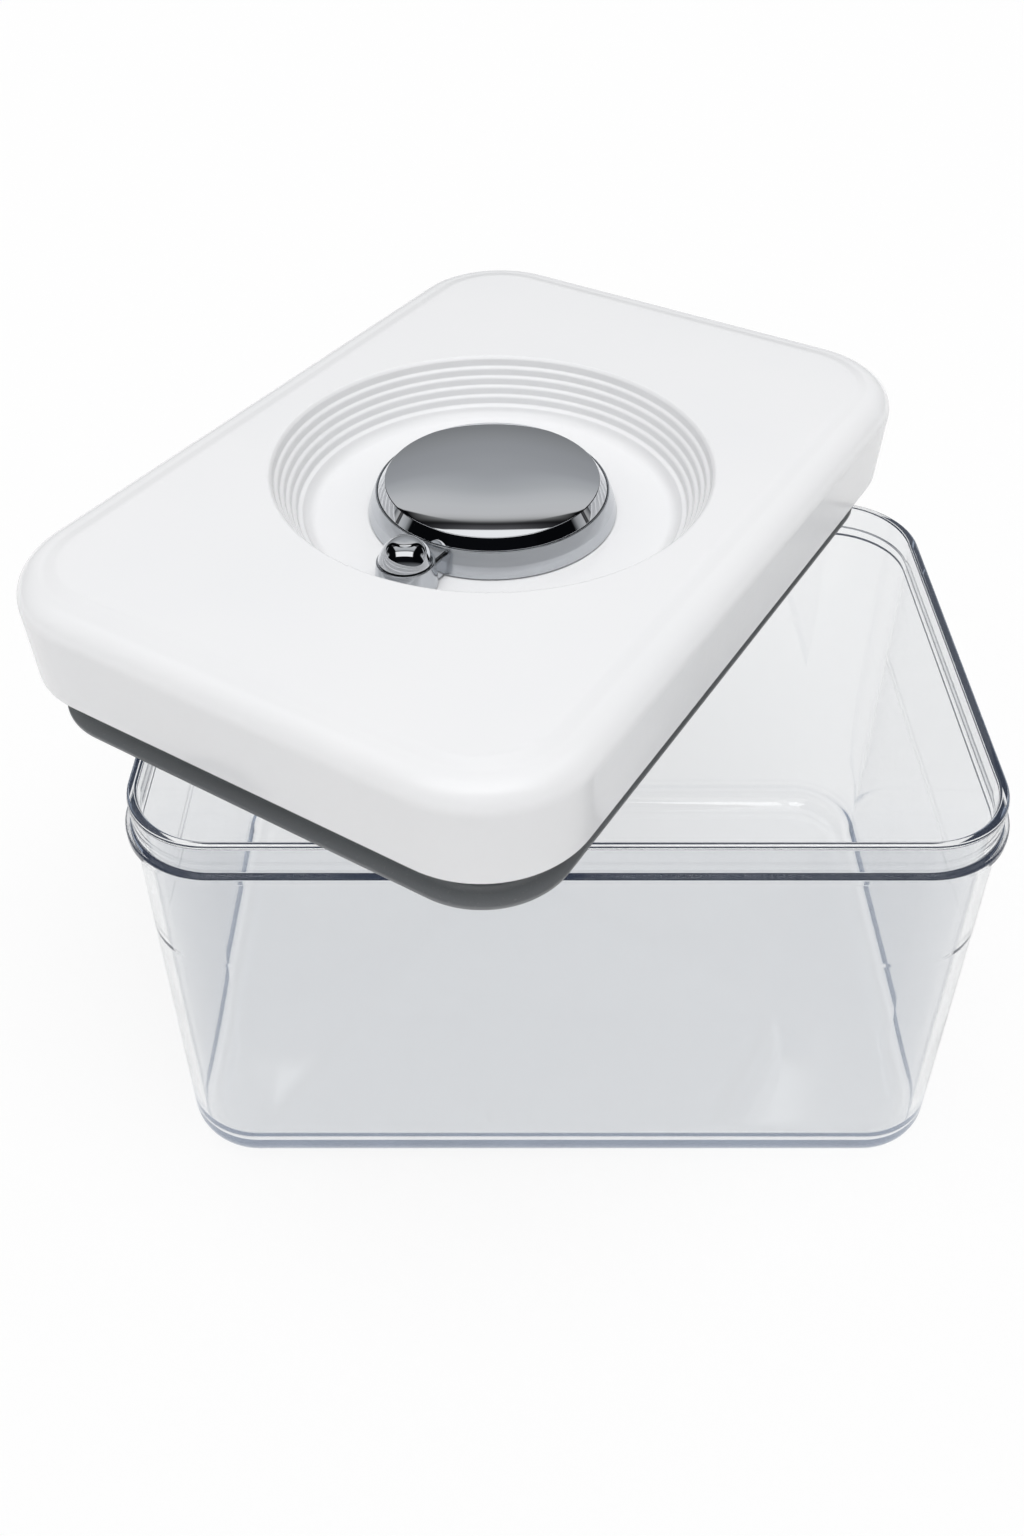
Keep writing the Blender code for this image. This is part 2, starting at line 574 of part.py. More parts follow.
def make_button(chrome, button):
    """Domed push button with a short wall and the boss that takes the vent stem."""
    outside = [(radius, DOME_CROWN - fall) for radius, fall in dome_curve(DOME_STEPS)]
    edge = DOME_EDGE_RADIUS
    outside += fillet((DOME_RADIUS - edge, DOME_EDGE), edge, 90, 0, FILLET_STEPS)[1:]
    outside.append((DOME_RADIUS, DOME_EDGE - DOME_SKIRT))
    wall = DOME_RADIUS - DOME_WALL
    outside += [(wall, DOME_EDGE - DOME_SKIRT), (wall, DOME_EDGE + edge - DOME_WALL)]
    hole = STEM_RADIUS + SEAT_GAP
    boss = hole + BOSS_WALL
    spindle_top = KNOB_FLOOR_TOP + SEAT_GAP + SPINDLE_FLANGE
    boss_bottom = spindle_top + BUTTON_TRAVEL + SEAT_GAP
    underside = [(radius, DOME_CROWN - fall - DOME_WALL) for radius, fall in dome_curve(DOME_STEPS // 2)]
    outside += [point for point in reversed(underside) if boss < point[0] < wall - DOME_WALL]
    outside += [(boss, DOME_CROWN - DOME_WALL), (boss, boss_bottom), (hole, boss_bottom)]
    stem_top = DOME_CROWN - DOME_WALL * 2
    outside += [(hole, stem_top), (0, stem_top)]
    turned("vent_button", outside, chrome, button)
    return stem_top - SEAT_GAP


def make_stem_and_seal(steel, silicone, button, stem_top):
    """Vent stem down through the spindle, with the seal washer that it pulls up under the tray."""
    seal_top = TRAY_BOTTOM + VENT_RECESS_DEPTH - SEAT_GAP
    seal_bottom = seal_top - VENT_SEAL_THICKNESS
    head_top = seal_bottom - SEAT_GAP
    head_bottom = head_top - STEM_HEAD
    turned("vent_stem", [(0, stem_top), (STEM_RADIUS, stem_top), (STEM_RADIUS, head_top),
                         (STEM_HEAD_RADIUS, head_top), (STEM_HEAD_RADIUS, head_bottom), (0, head_bottom)],
           steel, button, SMALL_ROUND_STEPS)
    hole = STEM_RADIUS + SEAT_GAP
    turned("vent_seal", [(hole, seal_top), (VENT_SEAL_RADIUS, seal_top), (VENT_SEAL_RADIUS, seal_bottom),
                         (hole, seal_bottom)], silicone, button, SMALL_ROUND_STEPS)


def make_spring(steel, crank):
    """Compression spring between the knob's floor and the button."""
    sag = DOME_RISE * (SPRING_RADIUS / (DOME_RADIUS - DOME_EDGE_RADIUS)) ** DOME_POWER
    room = SEAT_GAP + SPRING_WIRE_RADIUS
    top = DOME_CROWN - sag - DOME_WALL - room - SEAT_GAP
    bottom = KNOB_FLOOR_TOP + room
    curve = bpy.data.curves.new("vent_spring", "CURVE")
    curve.dimensions = "3D"
    curve.bevel_depth = SPRING_WIRE_RADIUS
    curve.bevel_resolution = 1
    curve.use_fill_caps = True
    steps = SPRING_TURNS * SPRING_TURN_STEPS
    spline = curve.splines.new("POLY")
    spline.points.add(steps)
    for step in range(steps + 1):
        angle = math.tau * step / SPRING_TURN_STEPS
        z = bottom + (top - bottom) * step / steps
        spline.points[step].co = (SPRING_RADIUS * math.cos(angle), SPRING_RADIUS * math.sin(angle), z, 1)
    spring = bpy.data.objects.new("vent_spring", curve)
    bpy.context.scene.collection.objects.link(spring)
    curve.materials.append(steel)
    spring.parent = crank
    gap = (top - bottom - BUTTON_TRAVEL) / SPRING_TURNS - 2 * SPRING_WIRE_RADIUS
    print(f"vent spring: {gap * 1000:.2f} mm between turns when pressed")


def make_spindle_parts(steel, acetal, crank, lid):
    """Hollow spindle in its bush, the clip that keeps it there, and the eccentric cam."""
    flange_bottom = KNOB_FLOOR_TOP + SEAT_GAP
    flange_top = flange_bottom + SPINDLE_FLANGE
    turned("spindle", [(SPINDLE_BORE_RADIUS, flange_top), (SPINDLE_FLANGE_RADIUS, flange_top),
                       (SPINDLE_FLANGE_RADIUS, flange_bottom), (SPINDLE_RADIUS, flange_bottom),
                       (SPINDLE_RADIUS, CAM_BOTTOM), (SPINDLE_BORE_RADIUS, CAM_BOTTOM)],
           steel, crank, SMALL_ROUND_STEPS)
    bore = SPINDLE_RADIUS + RUNNING_GAP
    barrel = bore + BUSH_WALL
    flange = barrel + BUSH_FLANGE_REACH
    bush_top = DISH_FLOOR + SEAT_GAP / 2
    under = DISH_UNDERSIDE - SEAT_GAP
    turned("spindle_bush", [(bore, bush_top), (barrel, bush_top), (barrel, under), (flange, under),
                            (flange, BUSH_BOTTOM), (bore, BUSH_BOTTOM)], acetal, lid, SMALL_ROUND_STEPS)
    hole = SPINDLE_RADIUS + SEAT_GAP
    clip_bottom = CLIP_TOP - CLIP_THICKNESS
    turned("spindle_clip", [(hole, CLIP_TOP), (CLIP_RADIUS, CLIP_TOP), (CLIP_RADIUS, clip_bottom),
                            (hole, clip_bottom)], steel, crank, SMALL_ROUND_STEPS)
    steps = SMALL_ROUND_STEPS * 3 // 2
    rings = [circle_ring(hole, CAM_TOP, steps=steps), circle_ring(CAM_RADIUS, CAM_TOP, (0, CAM_THROW), steps)]
    rings += [circle_ring(CAM_RADIUS, CAM_BOTTOM, (0, CAM_THROW), steps),
              circle_ring(hole, CAM_BOTTOM, steps=steps)]
    loft("pump_cam", rings, acetal, crank, closed=True)


def make_piston(acetal, silicone, piston):
    """Yoke that the cam pushes to and fro, with a piston on each end and a seal ring on each piston."""
    bottom = YOKE_TOP - YOKE_THICKNESS
    half_y = YOKE_WINDOW_Y + YOKE_RIM
    outer = (YOKE_HALF_LENGTH, half_y, YOKE_CORNER_RADIUS)
    window = (YOKE_WINDOW_X, YOKE_WINDOW_Y, YOKE_CORNER_RADIUS / 2)
    rings = [rounded_ring(*outer, YOKE_TOP), rounded_ring(*outer, bottom)]
    rings += [rounded_ring(*window, bottom), rounded_ring(*window, YOKE_TOP)]
    yoke = loft("piston_yoke", rings, acetal, piston, closed=True)
    middle = (PISTON_START + PISTON_END) / 2
    groove = PISTON_RADIUS - PISTON_GROOVE_DEPTH
    near, far = middle - PISTON_GROOVE_WIDTH / 2, middle + PISTON_GROOVE_WIDTH / 2
    root = YOKE_HALF_LENGTH - ROD_ROOT
    profile = [(0, root), (ROD_RADIUS, root), (ROD_RADIUS, PISTON_START), (PISTON_RADIUS, PISTON_START)]
    profile += [(PISTON_RADIUS, near), (groove, near), (groove, far), (PISTON_RADIUS, far)]
    profile += [(PISTON_RADIUS, PISTON_END), (0, PISTON_END)]
    ring_half = PISTON_GROOVE_WIDTH / 2 - SEAT_GAP
    ring_inner, ring_outer = groove + SEAT_GAP, (PISTON_RADIUS + BORE_RADIUS) / 2
    ring = [(ring_inner, middle - ring_half), (ring_outer, middle - ring_half)]
    ring += [(ring_outer, middle + ring_half), (ring_inner, middle + ring_half)]
    for side, label in ((1, "right"), (-1, "left")):
        head = turned(f"piston_{label}", profile, None, piston, SMALL_ROUND_STEPS, helper=True)
        seal = turned(f"piston_seal_{label}", ring, silicone, piston, SMALL_ROUND_STEPS)
        for obj in (head, seal):
            obj.location.z = PUMP_AXIS
            obj.rotation_euler.y = side * math.pi / 2
        join(yoke, head)


def make_cylinder(label, side, material, steel, silicone, lid):
    """One pump cylinder with its valve block and two lugs, its screws and its two check valves."""
    frame = pivot(f"cylinder_frame_{label}", turn=0 if side > 0 else math.pi, parent=lid)
    bottom = TRAY_TOP + SEAT_GAP
    axis = PUMP_AXIS
    block_top = axis + CYLINDER_RADIUS - VALVE_BLOCK_TOP
    body = block(f"pump_cylinder_{label}", (BORE_END + CYLINDER_END_WALL / 2, -BLOCK_HALF_WIDTH, bottom),
                 (BLOCK_END, BLOCK_HALF_WIDTH, block_top), material, frame)
    join(body, rod(f"barrel_{label}", (CYLINDER_MOUTH, 0, axis),
                   (BORE_END + CYLINDER_END_WALL, 0, axis), CYLINDER_RADIUS, frame))
    lug_half_y = LUG_Y + LUG_REACH / 2
    join(body, block(f"lugs_{label}", (CYLINDER_MOUTH + SEAT_GAP, -lug_half_y, LUG_BOTTOM),
                     (CYLINDER_MOUTH + LUG_LENGTH, lug_half_y, LUG_BOTTOM + LUG_THICKNESS), None, frame,
                     helper=True))
    cut(body, rod(f"bore_{label}", (CYLINDER_MOUTH - CUT_OVERRUN, 0, axis), (BORE_END, 0, axis),
                  BORE_RADIUS, frame))
    cut(body, rod(f"chamber_{label}", (CHAMBER_X, 0, bottom - CUT_OVERRUN),
                  (CHAMBER_X, 0, block_top - VALVE_BLOCK_TOP), VALVE_CHAMBER_RADIUS, frame))
    cut(body, rod(f"port_{label}", (BORE_END - CUT_OVERRUN, 0, axis), (CHAMBER_X, 0, axis),
                  AIR_PORT_RADIUS, frame, PORT_STEPS))
    wall_middle = CHAMBER_X + VALVE_CHAMBER_RADIUS
    stem_hole = drill(f"stem_hole_{label}", [(0, 0)], VALVE_STEM_RADIUS + SEAT_GAP, -CUT_OVERRUN,
                      VALVE_BLOCK_WALL + CUT_OVERRUN, frame)
    out_ports = drill(f"out_ports_{label}", port_places(), VALVE_PORT_RADIUS, -CUT_OVERRUN,
                      VALVE_BLOCK_WALL + CUT_OVERRUN, frame, PORT_STEPS)
    for helper in (stem_hole, out_ports):
        helper.location = (wall_middle, 0, axis)
        helper.rotation_euler.y = math.pi / 2
        cut(body, helper)
    for flank, place in ((1, "back"), (-1, "front")):
        y = flank * LUG_Y
        cut(body, rod(f"lug_hole_{label}_{place}", (LUG_X, y, LUG_BOTTOM - CUT_OVERRUN),
                      (LUG_X, y, LUG_BOTTOM + LUG_THICKNESS + CUT_OVERRUN), SCREW_RADIUS + SEAT_GAP, frame))
        screw = make_screw(f"cylinder_screw_{label}_{place}", steel, frame)
        screw.location = (LUG_X, y, LUG_BOTTOM + LUG_THICKNESS + SEAT_GAP)
    intake = make_valve(f"intake_valve_{label}", VALVE_SEAT, silicone, frame)
    intake.location = (CHAMBER_X, 0, TRAY_TOP)
    exhaust = make_valve(f"exhaust_valve_{label}", VALVE_BLOCK_WALL, silicone, frame)
    exhaust.location = (BLOCK_END, 0, axis)
    exhaust.rotation_euler.y = math.pi / 2


def port_places():
    """Centres of the air ports round a valve's stem."""
    angles = [math.tau * (port + 0.5) / VALVE_PORTS for port in range(VALVE_PORTS)]
    return [(VALVE_PORT_CIRCLE * math.cos(a), VALVE_PORT_CIRCLE * math.sin(a)) for a in angles]


def make_valve(name, wall, material, parent):
    """Silicone umbrella valve: a disc over the ports, a stem through the wall and a bulb behind it."""
    seat = SEAT_GAP
    bulb = -wall - SEAT_GAP
    profile = [(0, seat + VALVE_DISC), (VALVE_DISC_RADIUS / 2, seat + VALVE_DISC),
               (VALVE_DISC_RADIUS, seat + VALVE_DISC / 3), (VALVE_DISC_RADIUS, seat)]
    profile += [(VALVE_STEM_RADIUS, seat), (VALVE_STEM_RADIUS, bulb), (VALVE_BULB_RADIUS, bulb)]
    profile += [(VALVE_STEM_RADIUS / 2, bulb - VALVE_BULB), (0, bulb - VALVE_BULB)]
    return turned(name, profile, material, parent, SMALL_ROUND_STEPS * 2 // 3)


def make_screw(name, material, parent):
    """Pan-head screw with a round drive recess, standing on its lug."""
    shank = -SCREW_LENGTH
    profile = [(0, SCREW_HEAD - SCREW_DRIVE_DEPTH), (SCREW_DRIVE_RADIUS, SCREW_HEAD - SCREW_DRIVE_DEPTH),
               (SCREW_DRIVE_RADIUS, SCREW_HEAD), (SCREW_HEAD_RADIUS * 0.7, SCREW_HEAD)]
    profile += [(SCREW_HEAD_RADIUS, SCREW_HEAD / 2), (SCREW_HEAD_RADIUS, 0), (SCREW_RADIUS, 0)]
    profile += [(SCREW_RADIUS, shank + SCREW_RADIUS), (0, shank)]
    return turned(name, profile, material, parent, SMALL_ROUND_STEPS // 2)


def main():
    clear_scene()
    clear_plastic = finish("clear copolyester", (0.93, 0.95, 0.96), 0.03, transmission=1, ior=1.57)
    white_plastic = finish("white ABS", (0.86, 0.86, 0.87), 0.25)
    grey_plastic = finish("grey polypropylene", (0.50, 0.55, 0.58), 0.40)
    dark_silicone = finish("dark silicone", (0.055, 0.057, 0.060), 0.55)
    pale_silicone = finish("pale silicone", (0.55, 0.56, 0.57), 0.60)
    chrome = finish("chrome plating", (0.80, 0.81, 0.82), 0.05, metallic=1)
    satin_chrome = finish("satin chrome plating", (0.74, 0.75, 0.77), 0.22, metallic=1)
    steel = finish("stainless steel", (0.60, 0.60, 0.61), 0.30, metallic=1)
    acetal = finish("natural acetal", (0.80, 0.80, 0.78), 0.35)

    make_tub(clear_plastic)
    lid = pivot("lid_frame", (LID_X, LID_Y, TUB_HEIGHT + SEAT_GAP - LIP_BOTTOM), LID_TURN)
    make_cover(white_plastic, lid)
    make_tray(grey_plastic, lid)
    make_gasket(dark_silicone, lid)
    for label, side in (("right", 1), ("left", -1)):
        make_cylinder(label, side, grey_plastic, steel, pale_silicone, lid)

    crank = pivot("crank_axis", parent=lid)
    make_knob(satin_chrome, crank)
    make_post_cap(chrome, crank)
    make_spindle_parts(steel, acetal, crank, lid)
    make_spring(steel, crank)

    button = pivot("button_axis", parent=crank)
    stem_top = make_button(chrome, button)
    make_stem_and_seal(steel, pale_silicone, button, stem_top)

    piston = pivot("piston_axis", parent=lid)
    make_piston(acetal, pale_silicone, piston)


main()
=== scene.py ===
# %% [markdown]
# # A clear storage jar with a white vacuum lid
# The jar is a clear rectangular tub. Its lid lies on the rim, lifted off and turned, and holds a small
# pump under a chrome knob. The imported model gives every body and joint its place. This lesson dresses
# it: it remakes the pieces that show with fine, smooth surfaces and gives every piece a real finish.
# Loading the frame first means that nothing below has to be fitted by eye.

# %% Load the frame
import math

import bmesh
import bpy
from mathutils import Matrix, Vector
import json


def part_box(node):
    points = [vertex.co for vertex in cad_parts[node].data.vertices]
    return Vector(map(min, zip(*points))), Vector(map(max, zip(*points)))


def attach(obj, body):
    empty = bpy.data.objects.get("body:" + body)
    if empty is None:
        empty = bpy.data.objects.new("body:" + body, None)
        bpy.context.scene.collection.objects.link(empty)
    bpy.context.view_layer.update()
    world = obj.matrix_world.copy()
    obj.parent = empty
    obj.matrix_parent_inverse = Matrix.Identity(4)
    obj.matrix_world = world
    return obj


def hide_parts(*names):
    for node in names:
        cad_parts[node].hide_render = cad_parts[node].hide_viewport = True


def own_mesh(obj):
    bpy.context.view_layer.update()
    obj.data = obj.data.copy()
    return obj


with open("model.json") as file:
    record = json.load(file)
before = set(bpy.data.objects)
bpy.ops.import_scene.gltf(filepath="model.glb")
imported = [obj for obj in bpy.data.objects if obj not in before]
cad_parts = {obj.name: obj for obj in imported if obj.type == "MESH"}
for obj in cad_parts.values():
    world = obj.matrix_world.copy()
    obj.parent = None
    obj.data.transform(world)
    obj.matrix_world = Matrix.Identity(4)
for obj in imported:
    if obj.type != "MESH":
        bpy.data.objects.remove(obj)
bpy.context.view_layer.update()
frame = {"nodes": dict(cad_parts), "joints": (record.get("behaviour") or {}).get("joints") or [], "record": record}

# %% [markdown]
# ## Places that the frame gives
# The lid has its own frame: X along its long side and Z = 0 at its top panel, over the knob's axis.
# The crank's joint says where that is, and the pump's stroke says how far the lid is turned, so every
# lid piece can be modelled straight and level and then put in place by one matrix.

# %% Find the lid's own frame
MM = 0.001
joints = {joint["name"]: joint for joint in frame["joints"]}
stroke = joints["piston_stroke"]["axis"]
lid_turn = math.atan2(stroke[1], stroke[0])
LID = Matrix.Translation(joints["crank_turn"]["pos_m"]) @ Matrix.Rotation(lid_turn, 4, "Z")
print(f"the lid is turned {math.degrees(lid_turn):.1f} degrees")

# %% [markdown]
# ## Colours and nodes
# Colours are easiest to judge as sRGB hex, but shaders want linear light, so one function converts
# them. A second one adds a shader node with its settings, its plain values and its links, and a third
# adds a colour ramp.

# %% Colour and node helpers
def linear(hex_colour):
    """An sRGB hex colour as linear RGBA."""
    shares = [int(hex_colour[start:start + 2], 16) / 255 for start in (1, 3, 5)]
    return [s / 12.92 if s <= 0.04045 else ((s + 0.055) / 1.055) ** 2.4 for s in shares] + [1]


def add_node(tree, kind, values=None, links=None, **settings):
    """Adds a node. Its settings come by name, its input values and links ({input: output}) as dicts."""
    node = tree.nodes.new(kind)
    for name, value in settings.items():
        setattr(node, name, value)
    for name, value in (values or {}).items():
        node.inputs[name].default_value = value
    for name, source in (links or {}).items():
        tree.links.new(source, node.inputs[name])
    return node


def add_tones(tree, tones, source):
    """Adds a colour ramp of (position, hex) tones that a value runs through, and gives its colour."""
    node = add_node(tree, "ShaderNodeValToRGB", links={"Fac": source})
    elements = node.color_ramp.elements
    while len(elements) < len(tones):
        elements.new(0.5)
    for element, (position, tone) in zip(elements, tones):
        element.position, element.color = position, linear(tone)
    return node.outputs["Color"]


print("white is", [round(value, 3) for value in linear("#FFFFFF")])

# %% [markdown]
# ## How a finish starts
# Every finish here is a Principled shader with its colour, roughness and IOR on its own sockets, over
# coordinates in real metres. What makes moulded and plated surfaces look real is that they aren't
# even: polish wanders a little from patch to patch, and a fine relief breaks up reflections. One
# function gives both from noise of a real size. Image textures would do it too, but noise fits any
# shape without unwrapping.

# %% Start a finish
def start_finish(name, colour, **sockets):
    material = bpy.data.materials.new(name)
    material.use_nodes = True
    shader = material.node_tree.nodes["Principled BSDF"]
    shader.inputs["Base Color"].default_value = linear(colour)
    for socket, value in sockets.items():
        shader.inputs[socket.replace("_", " ")].default_value = value
    coords = add_node(material.node_tree, "ShaderNodeTexCoord").outputs["Object"]
    return material, shader, coords


def wander(tree, shader, coords, patch, smooth, rough, grain, relief):
    """Roughness wanders from smooth to rough over patches, and a grain stands up by its relief."""
    polish = add_node(tree, "ShaderNodeTexNoise", {"Scale": 1 / patch, "Detail": 3}, {"Vector": coords})
    spread = add_node(tree, "ShaderNodeMapRange", {"From Min": 0.3, "From Max": 0.7, "To Min": smooth,
                      "To Max": rough}, {"Value": polish.outputs["Fac"]})
    tree.links.new(spread.outputs["Result"], shader.inputs["Roughness"])
    texture = add_node(tree, "ShaderNodeTexNoise", {"Scale": 1 / grain, "Detail": 2}, {"Vector": coords})
    bump = add_node(tree, "ShaderNodeBump", {"Strength": 1, "Distance": relief},
                    {"Height": texture.outputs["Fac"]})
    tree.links.new(bump.outputs["Normal"], shader.inputs["Normal"])
    return texture


finishes = {}
print("finish helpers are ready")

# %% [markdown]
# ## Clear copolyester
# The tub is injection moulded from clear copolyester, a tough glass-like plastic with an IOR of about
# 1.57. Its high polish comes from the mould, and slow waves of about two hundredths of a millimetre, left
# as the melt flowed, make the reflections swim a little. Lamps have to shine through it, or its shadow
# would be that of a solid block, so shadow rays see it as nearly clear.
#
# Light that stays trapped inside the rim or the base is what draws the plastic's dark edges. A renderer
# stops following it after some bounces and leaves those places black, which real plastic never is. So
# after a few bounces it gets the tone that such light has: pale slate in the thick base, and navy from
# a little above it up to the thin rim.

# %% Make the clear plastic
FLOW_WAVE, FLOW_RELIEF, TRAPPED_AFTER = 16 * MM, 0.018 * MM, 4
TRAPPED_TONES = ((0, "#8A95A7"), (0.06, "#8A95A7"), (0.14, "#2C3547"), (1, "#2C3547"))  # by share of height
tub_clear, shader, coords = start_finish("moulded copolyester", "#F3F4F5", IOR=1.57,
                                         Transmission_Weight=0.985)
tree = tub_clear.node_tree
wander(tree, shader, coords, 30 * MM, 0.0, 0.03, FLOW_WAVE, FLOW_RELIEF)
lamp_light = add_node(tree, "ShaderNodeBsdfTransparent", {"Color": linear("#F6F8F9")})
path = add_node(tree, "ShaderNodeLightPath")
through = add_node(tree, "ShaderNodeMixShader", links={0: path.outputs["Is Shadow Ray"],
                   1: shader.outputs["BSDF"], 2: lamp_light.outputs["BSDF"]})
trapped = add_node(tree, "ShaderNodeMath", {1: TRAPPED_AFTER}, {0: path.outputs["Ray Depth"]},
                   operation="GREATER_THAN")
height = add_node(tree, "ShaderNodeSeparateXYZ", links={0: coords}).outputs["Z"]
level = add_node(tree, "ShaderNodeMapRange", {"From Max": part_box("tub")[1].z}, {"Value": height})
by_height = add_tones(tree, TRAPPED_TONES, level.outputs["Result"])
# painted light: past TRAPPED_AFTER bounces the plastic glows in these slate and navy tones, standing in for the
# trapped light
slate_light = add_node(tree, "ShaderNodeEmission", {"Strength": 1.0}, {"Color": by_height})
clear = add_node(tree, "ShaderNodeMixShader", links={0: trapped.outputs[0], 1: through.outputs["Shader"],
                 2: slate_light.outputs[0]})
tree.links.new(clear.outputs["Shader"], tree.nodes["Material Output"].inputs["Surface"])
finishes["clear_plastic"] = tub_clear
print("flow waves every", round(FLOW_WAVE / MM), "mm")

# %% [markdown]
# ## White ABS
# The cover is white ABS from a polished mould. It's glossy but not a mirror: a faint orange peel of
# about 2 mm softens highlights, and the white itself is a touch cool and not perfectly even.

# %% Make the white plastic
ORANGE_PEEL = 2.2 * MM
white_abs, shader, coords = start_finish("moulded white ABS", "#F1F1F2", IOR=1.53)
tree = white_abs.node_tree
wander(tree, shader, coords, 25 * MM, 0.16, 0.24, ORANGE_PEEL, 0.012 * MM)
cloud = add_node(tree, "ShaderNodeTexNoise", {"Scale": 1 / (40 * MM), "Detail": 4}, {"Vector": coords})
tint = add_node(tree, "ShaderNodeMix", {"A": linear("#F3F3F4"), "B": linear("#EEEFF1")},
                {"Factor": cloud.outputs["Fac"]}, data_type="RGBA")
tree.links.new(tint.outputs["Result"], shader.inputs["Base Color"])
finishes["white_plastic"] = white_abs
print("orange peel of", round(ORANGE_PEEL / MM, 1), "mm")

# %% [markdown]
# ## Plated chrome
# The dome and the ball cap are ABS with bright chrome plating. Chrome is a metal, so its colour is its
# reflection. The plating copies the mould's polish with a very slight waviness, and wiping leaves it a
# little duller in patches, which widens some highlights. The knob's skirt has the same plating over a
# finely turned surface, so it is softer.

# %% Make the two chromes
WIPED_PATCH, PLATING_WAVE = 9 * MM, 6 * MM


def plated(name, colour, smooth, rough, relief):
    material, shader, coords = start_finish(name, colour, Metallic=1.0)
    tree = material.node_tree
    wander(tree, shader, coords, WIPED_PATCH, smooth, rough, PLATING_WAVE, relief)
    return material


finishes["chrome"] = plated("bright chrome plating", "#E4E6E9", 0.0, 0.02, 0.001 * MM)
finishes["satin_chrome"] = plated("turned chrome plating", "#C6C9CD", 0.12, 0.20, 0.003 * MM)
print("chrome plating is ready")

# %% [markdown]
# ## Silicone
# The gasket is dark grey silicone rubber. Moulded silicone is matt with a soft sheen, because its mould
# is blasted, and it gathers a little pale dust. The valves and seals are the same rubber in its natural
# pale grey.

# %% Make the silicones
def silicone(name, colour, dust, rough):
    material, shader, coords = start_finish(name, colour, IOR=1.41, Sheen_Weight=0.15)
    tree = material.node_tree
    grain = wander(tree, shader, coords, 12 * MM, rough, rough + 0.12, 0.5 * MM, 0.02 * MM)
    specks = add_node(tree, "ShaderNodeMapRange", {"From Min": 0.62, "From Max": 0.8, "To Max": 0.5},
                      {"Value": grain.outputs["Fac"]})
    dusty = add_node(tree, "ShaderNodeMix", {"A": linear(colour), "B": linear(dust)},
                     {"Factor": specks.outputs["Result"]}, data_type="RGBA")
    tree.links.new(dusty.outputs["Result"], shader.inputs["Base Color"])
    return material


finishes["dark_silicone"] = silicone("moulded dark silicone", "#838587", "#9FA1A3", 0.38)
finishes["pale_silicone"] = silicone("moulded pale silicone", "#C4C6C9", "#DADBDD", 0.45)
print("silicones are ready")

# %% [markdown]
# ## Engineering plastics and steel
# The tray and the pump's cylinders are grey-blue polypropylene with a spark-eroded, satin surface. The
# cam, bush and yoke are natural acetal, a waxy white plastic that slides well. Shafts, clips and screws
# are stainless steel that was turned, so its marks run round the part.

# %% Make the inner finishes
def satin_plastic(name, colour, grain, rough, glow):
    material, shader, coords = start_finish(name, colour, IOR=1.49, Subsurface_Weight=glow)
    shader.inputs["Subsurface Radius"].default_value = (1.0 * MM, 1.0 * MM, 1.0 * MM)
    shader.inputs["Subsurface Scale"].default_value = 1.0
    wander(material.node_tree, shader, coords, 15 * MM, rough, rough + 0.1, grain, 0.02 * MM)
    return material


finishes["grey_plastic"] = satin_plastic("spark-eroded polypropylene", "#BCC4C9", 0.6 * MM, 0.32, 0.0)
finishes["acetal"] = satin_plastic("natural acetal", "#E8E8E4", 0.9 * MM, 0.28, 0.1)

steel, shader, coords = start_finish("turned stainless steel", "#C9C9C8", Metallic=1.0)
tree = steel.node_tree
stretch = add_node(tree, "ShaderNodeMapping", {"Scale": (1, 1, 20)}, {"Vector": coords})
wander(tree, shader, stretch.outputs["Vector"], 4 * MM, 0.22, 0.36, 4 * MM, 0.004 * MM)
finishes["steel"] = steel
print(len(finishes), "finishes:", ", ".join(sorted(finishes)))

# %% [markdown]
# ## Profiles with rounded corners
# Moulded pieces have no sharp corners. A profile is written as a few corner points, each with its own
# radius, and this function puts an arc at each one. A bevel modifier could round edges afterwards, but
# arcs in the profile keep every radius exact, and they line up all the way round.

# %% Round a profile's corners
ARC_STEP = math.radians(10)


def rounded(corners, closed=False):
    """Points (across, up) of a profile whose corners are (across, up, radius), with an arc at each."""
    points = []
    for index, (across, up, radius) in enumerate(corners):
        here = Vector((across, up))
        if not radius or not closed and index in (0, len(corners) - 1):
            points.append(here)
            continue
        before = (Vector(corners[index - 1][:2]) - here).normalized()
        after = (Vector(corners[(index + 1) % len(corners)][:2]) - here).normalized()
        half = before.angle(after) / 2
        centre = here + (before + after).normalized() * radius / math.sin(half)
        start = here + before * radius / math.tan(half) - centre
        sweep = math.copysign(math.pi - 2 * half, before.y * after.x - before.x * after.y)
        steps = max(2, round(abs(sweep) / ARC_STEP))
        for step in range(steps + 1):
            points.append(centre + Matrix.Rotation(sweep * step / steps, 2) @ start)
    return points


square = rounded([(0, 0, 0.1), (1, 0, 0.1), (1, 1, 0.1), (0, 1, 0.1)], closed=True)
print("a rounded square has", len(square), "points")

# %% [markdown]
# ## Rings and skins
# The tub and the lid are rounded rectangles and the dish in the lid is round. If every ring has as many
# points, one can be skinned to the next, so a cover with a round dish in it is one clean shell. Normals
# are weighted by face area, so that flat panels stay flat in reflections right up to their rounded edge.

# %% Ring and skin helpers
CORNER_STEPS, SHORT_STEPS, LONG_STEPS = 24, 4, 8
RING_STEPS = 4 * (CORNER_STEPS + SHORT_STEPS + LONG_STEPS)
SHARP = math.radians(40)


def circle(radius, z):
    """A level ring of points, or its single middle point where the radius is zero."""
    if radius < MM / 1000:
        return [Vector((0, 0, z))]
    angles = [math.tau * step / RING_STEPS for step in range(RING_STEPS)]
    return [Vector((radius * math.cos(a), radius * math.sin(a), z)) for a in angles]


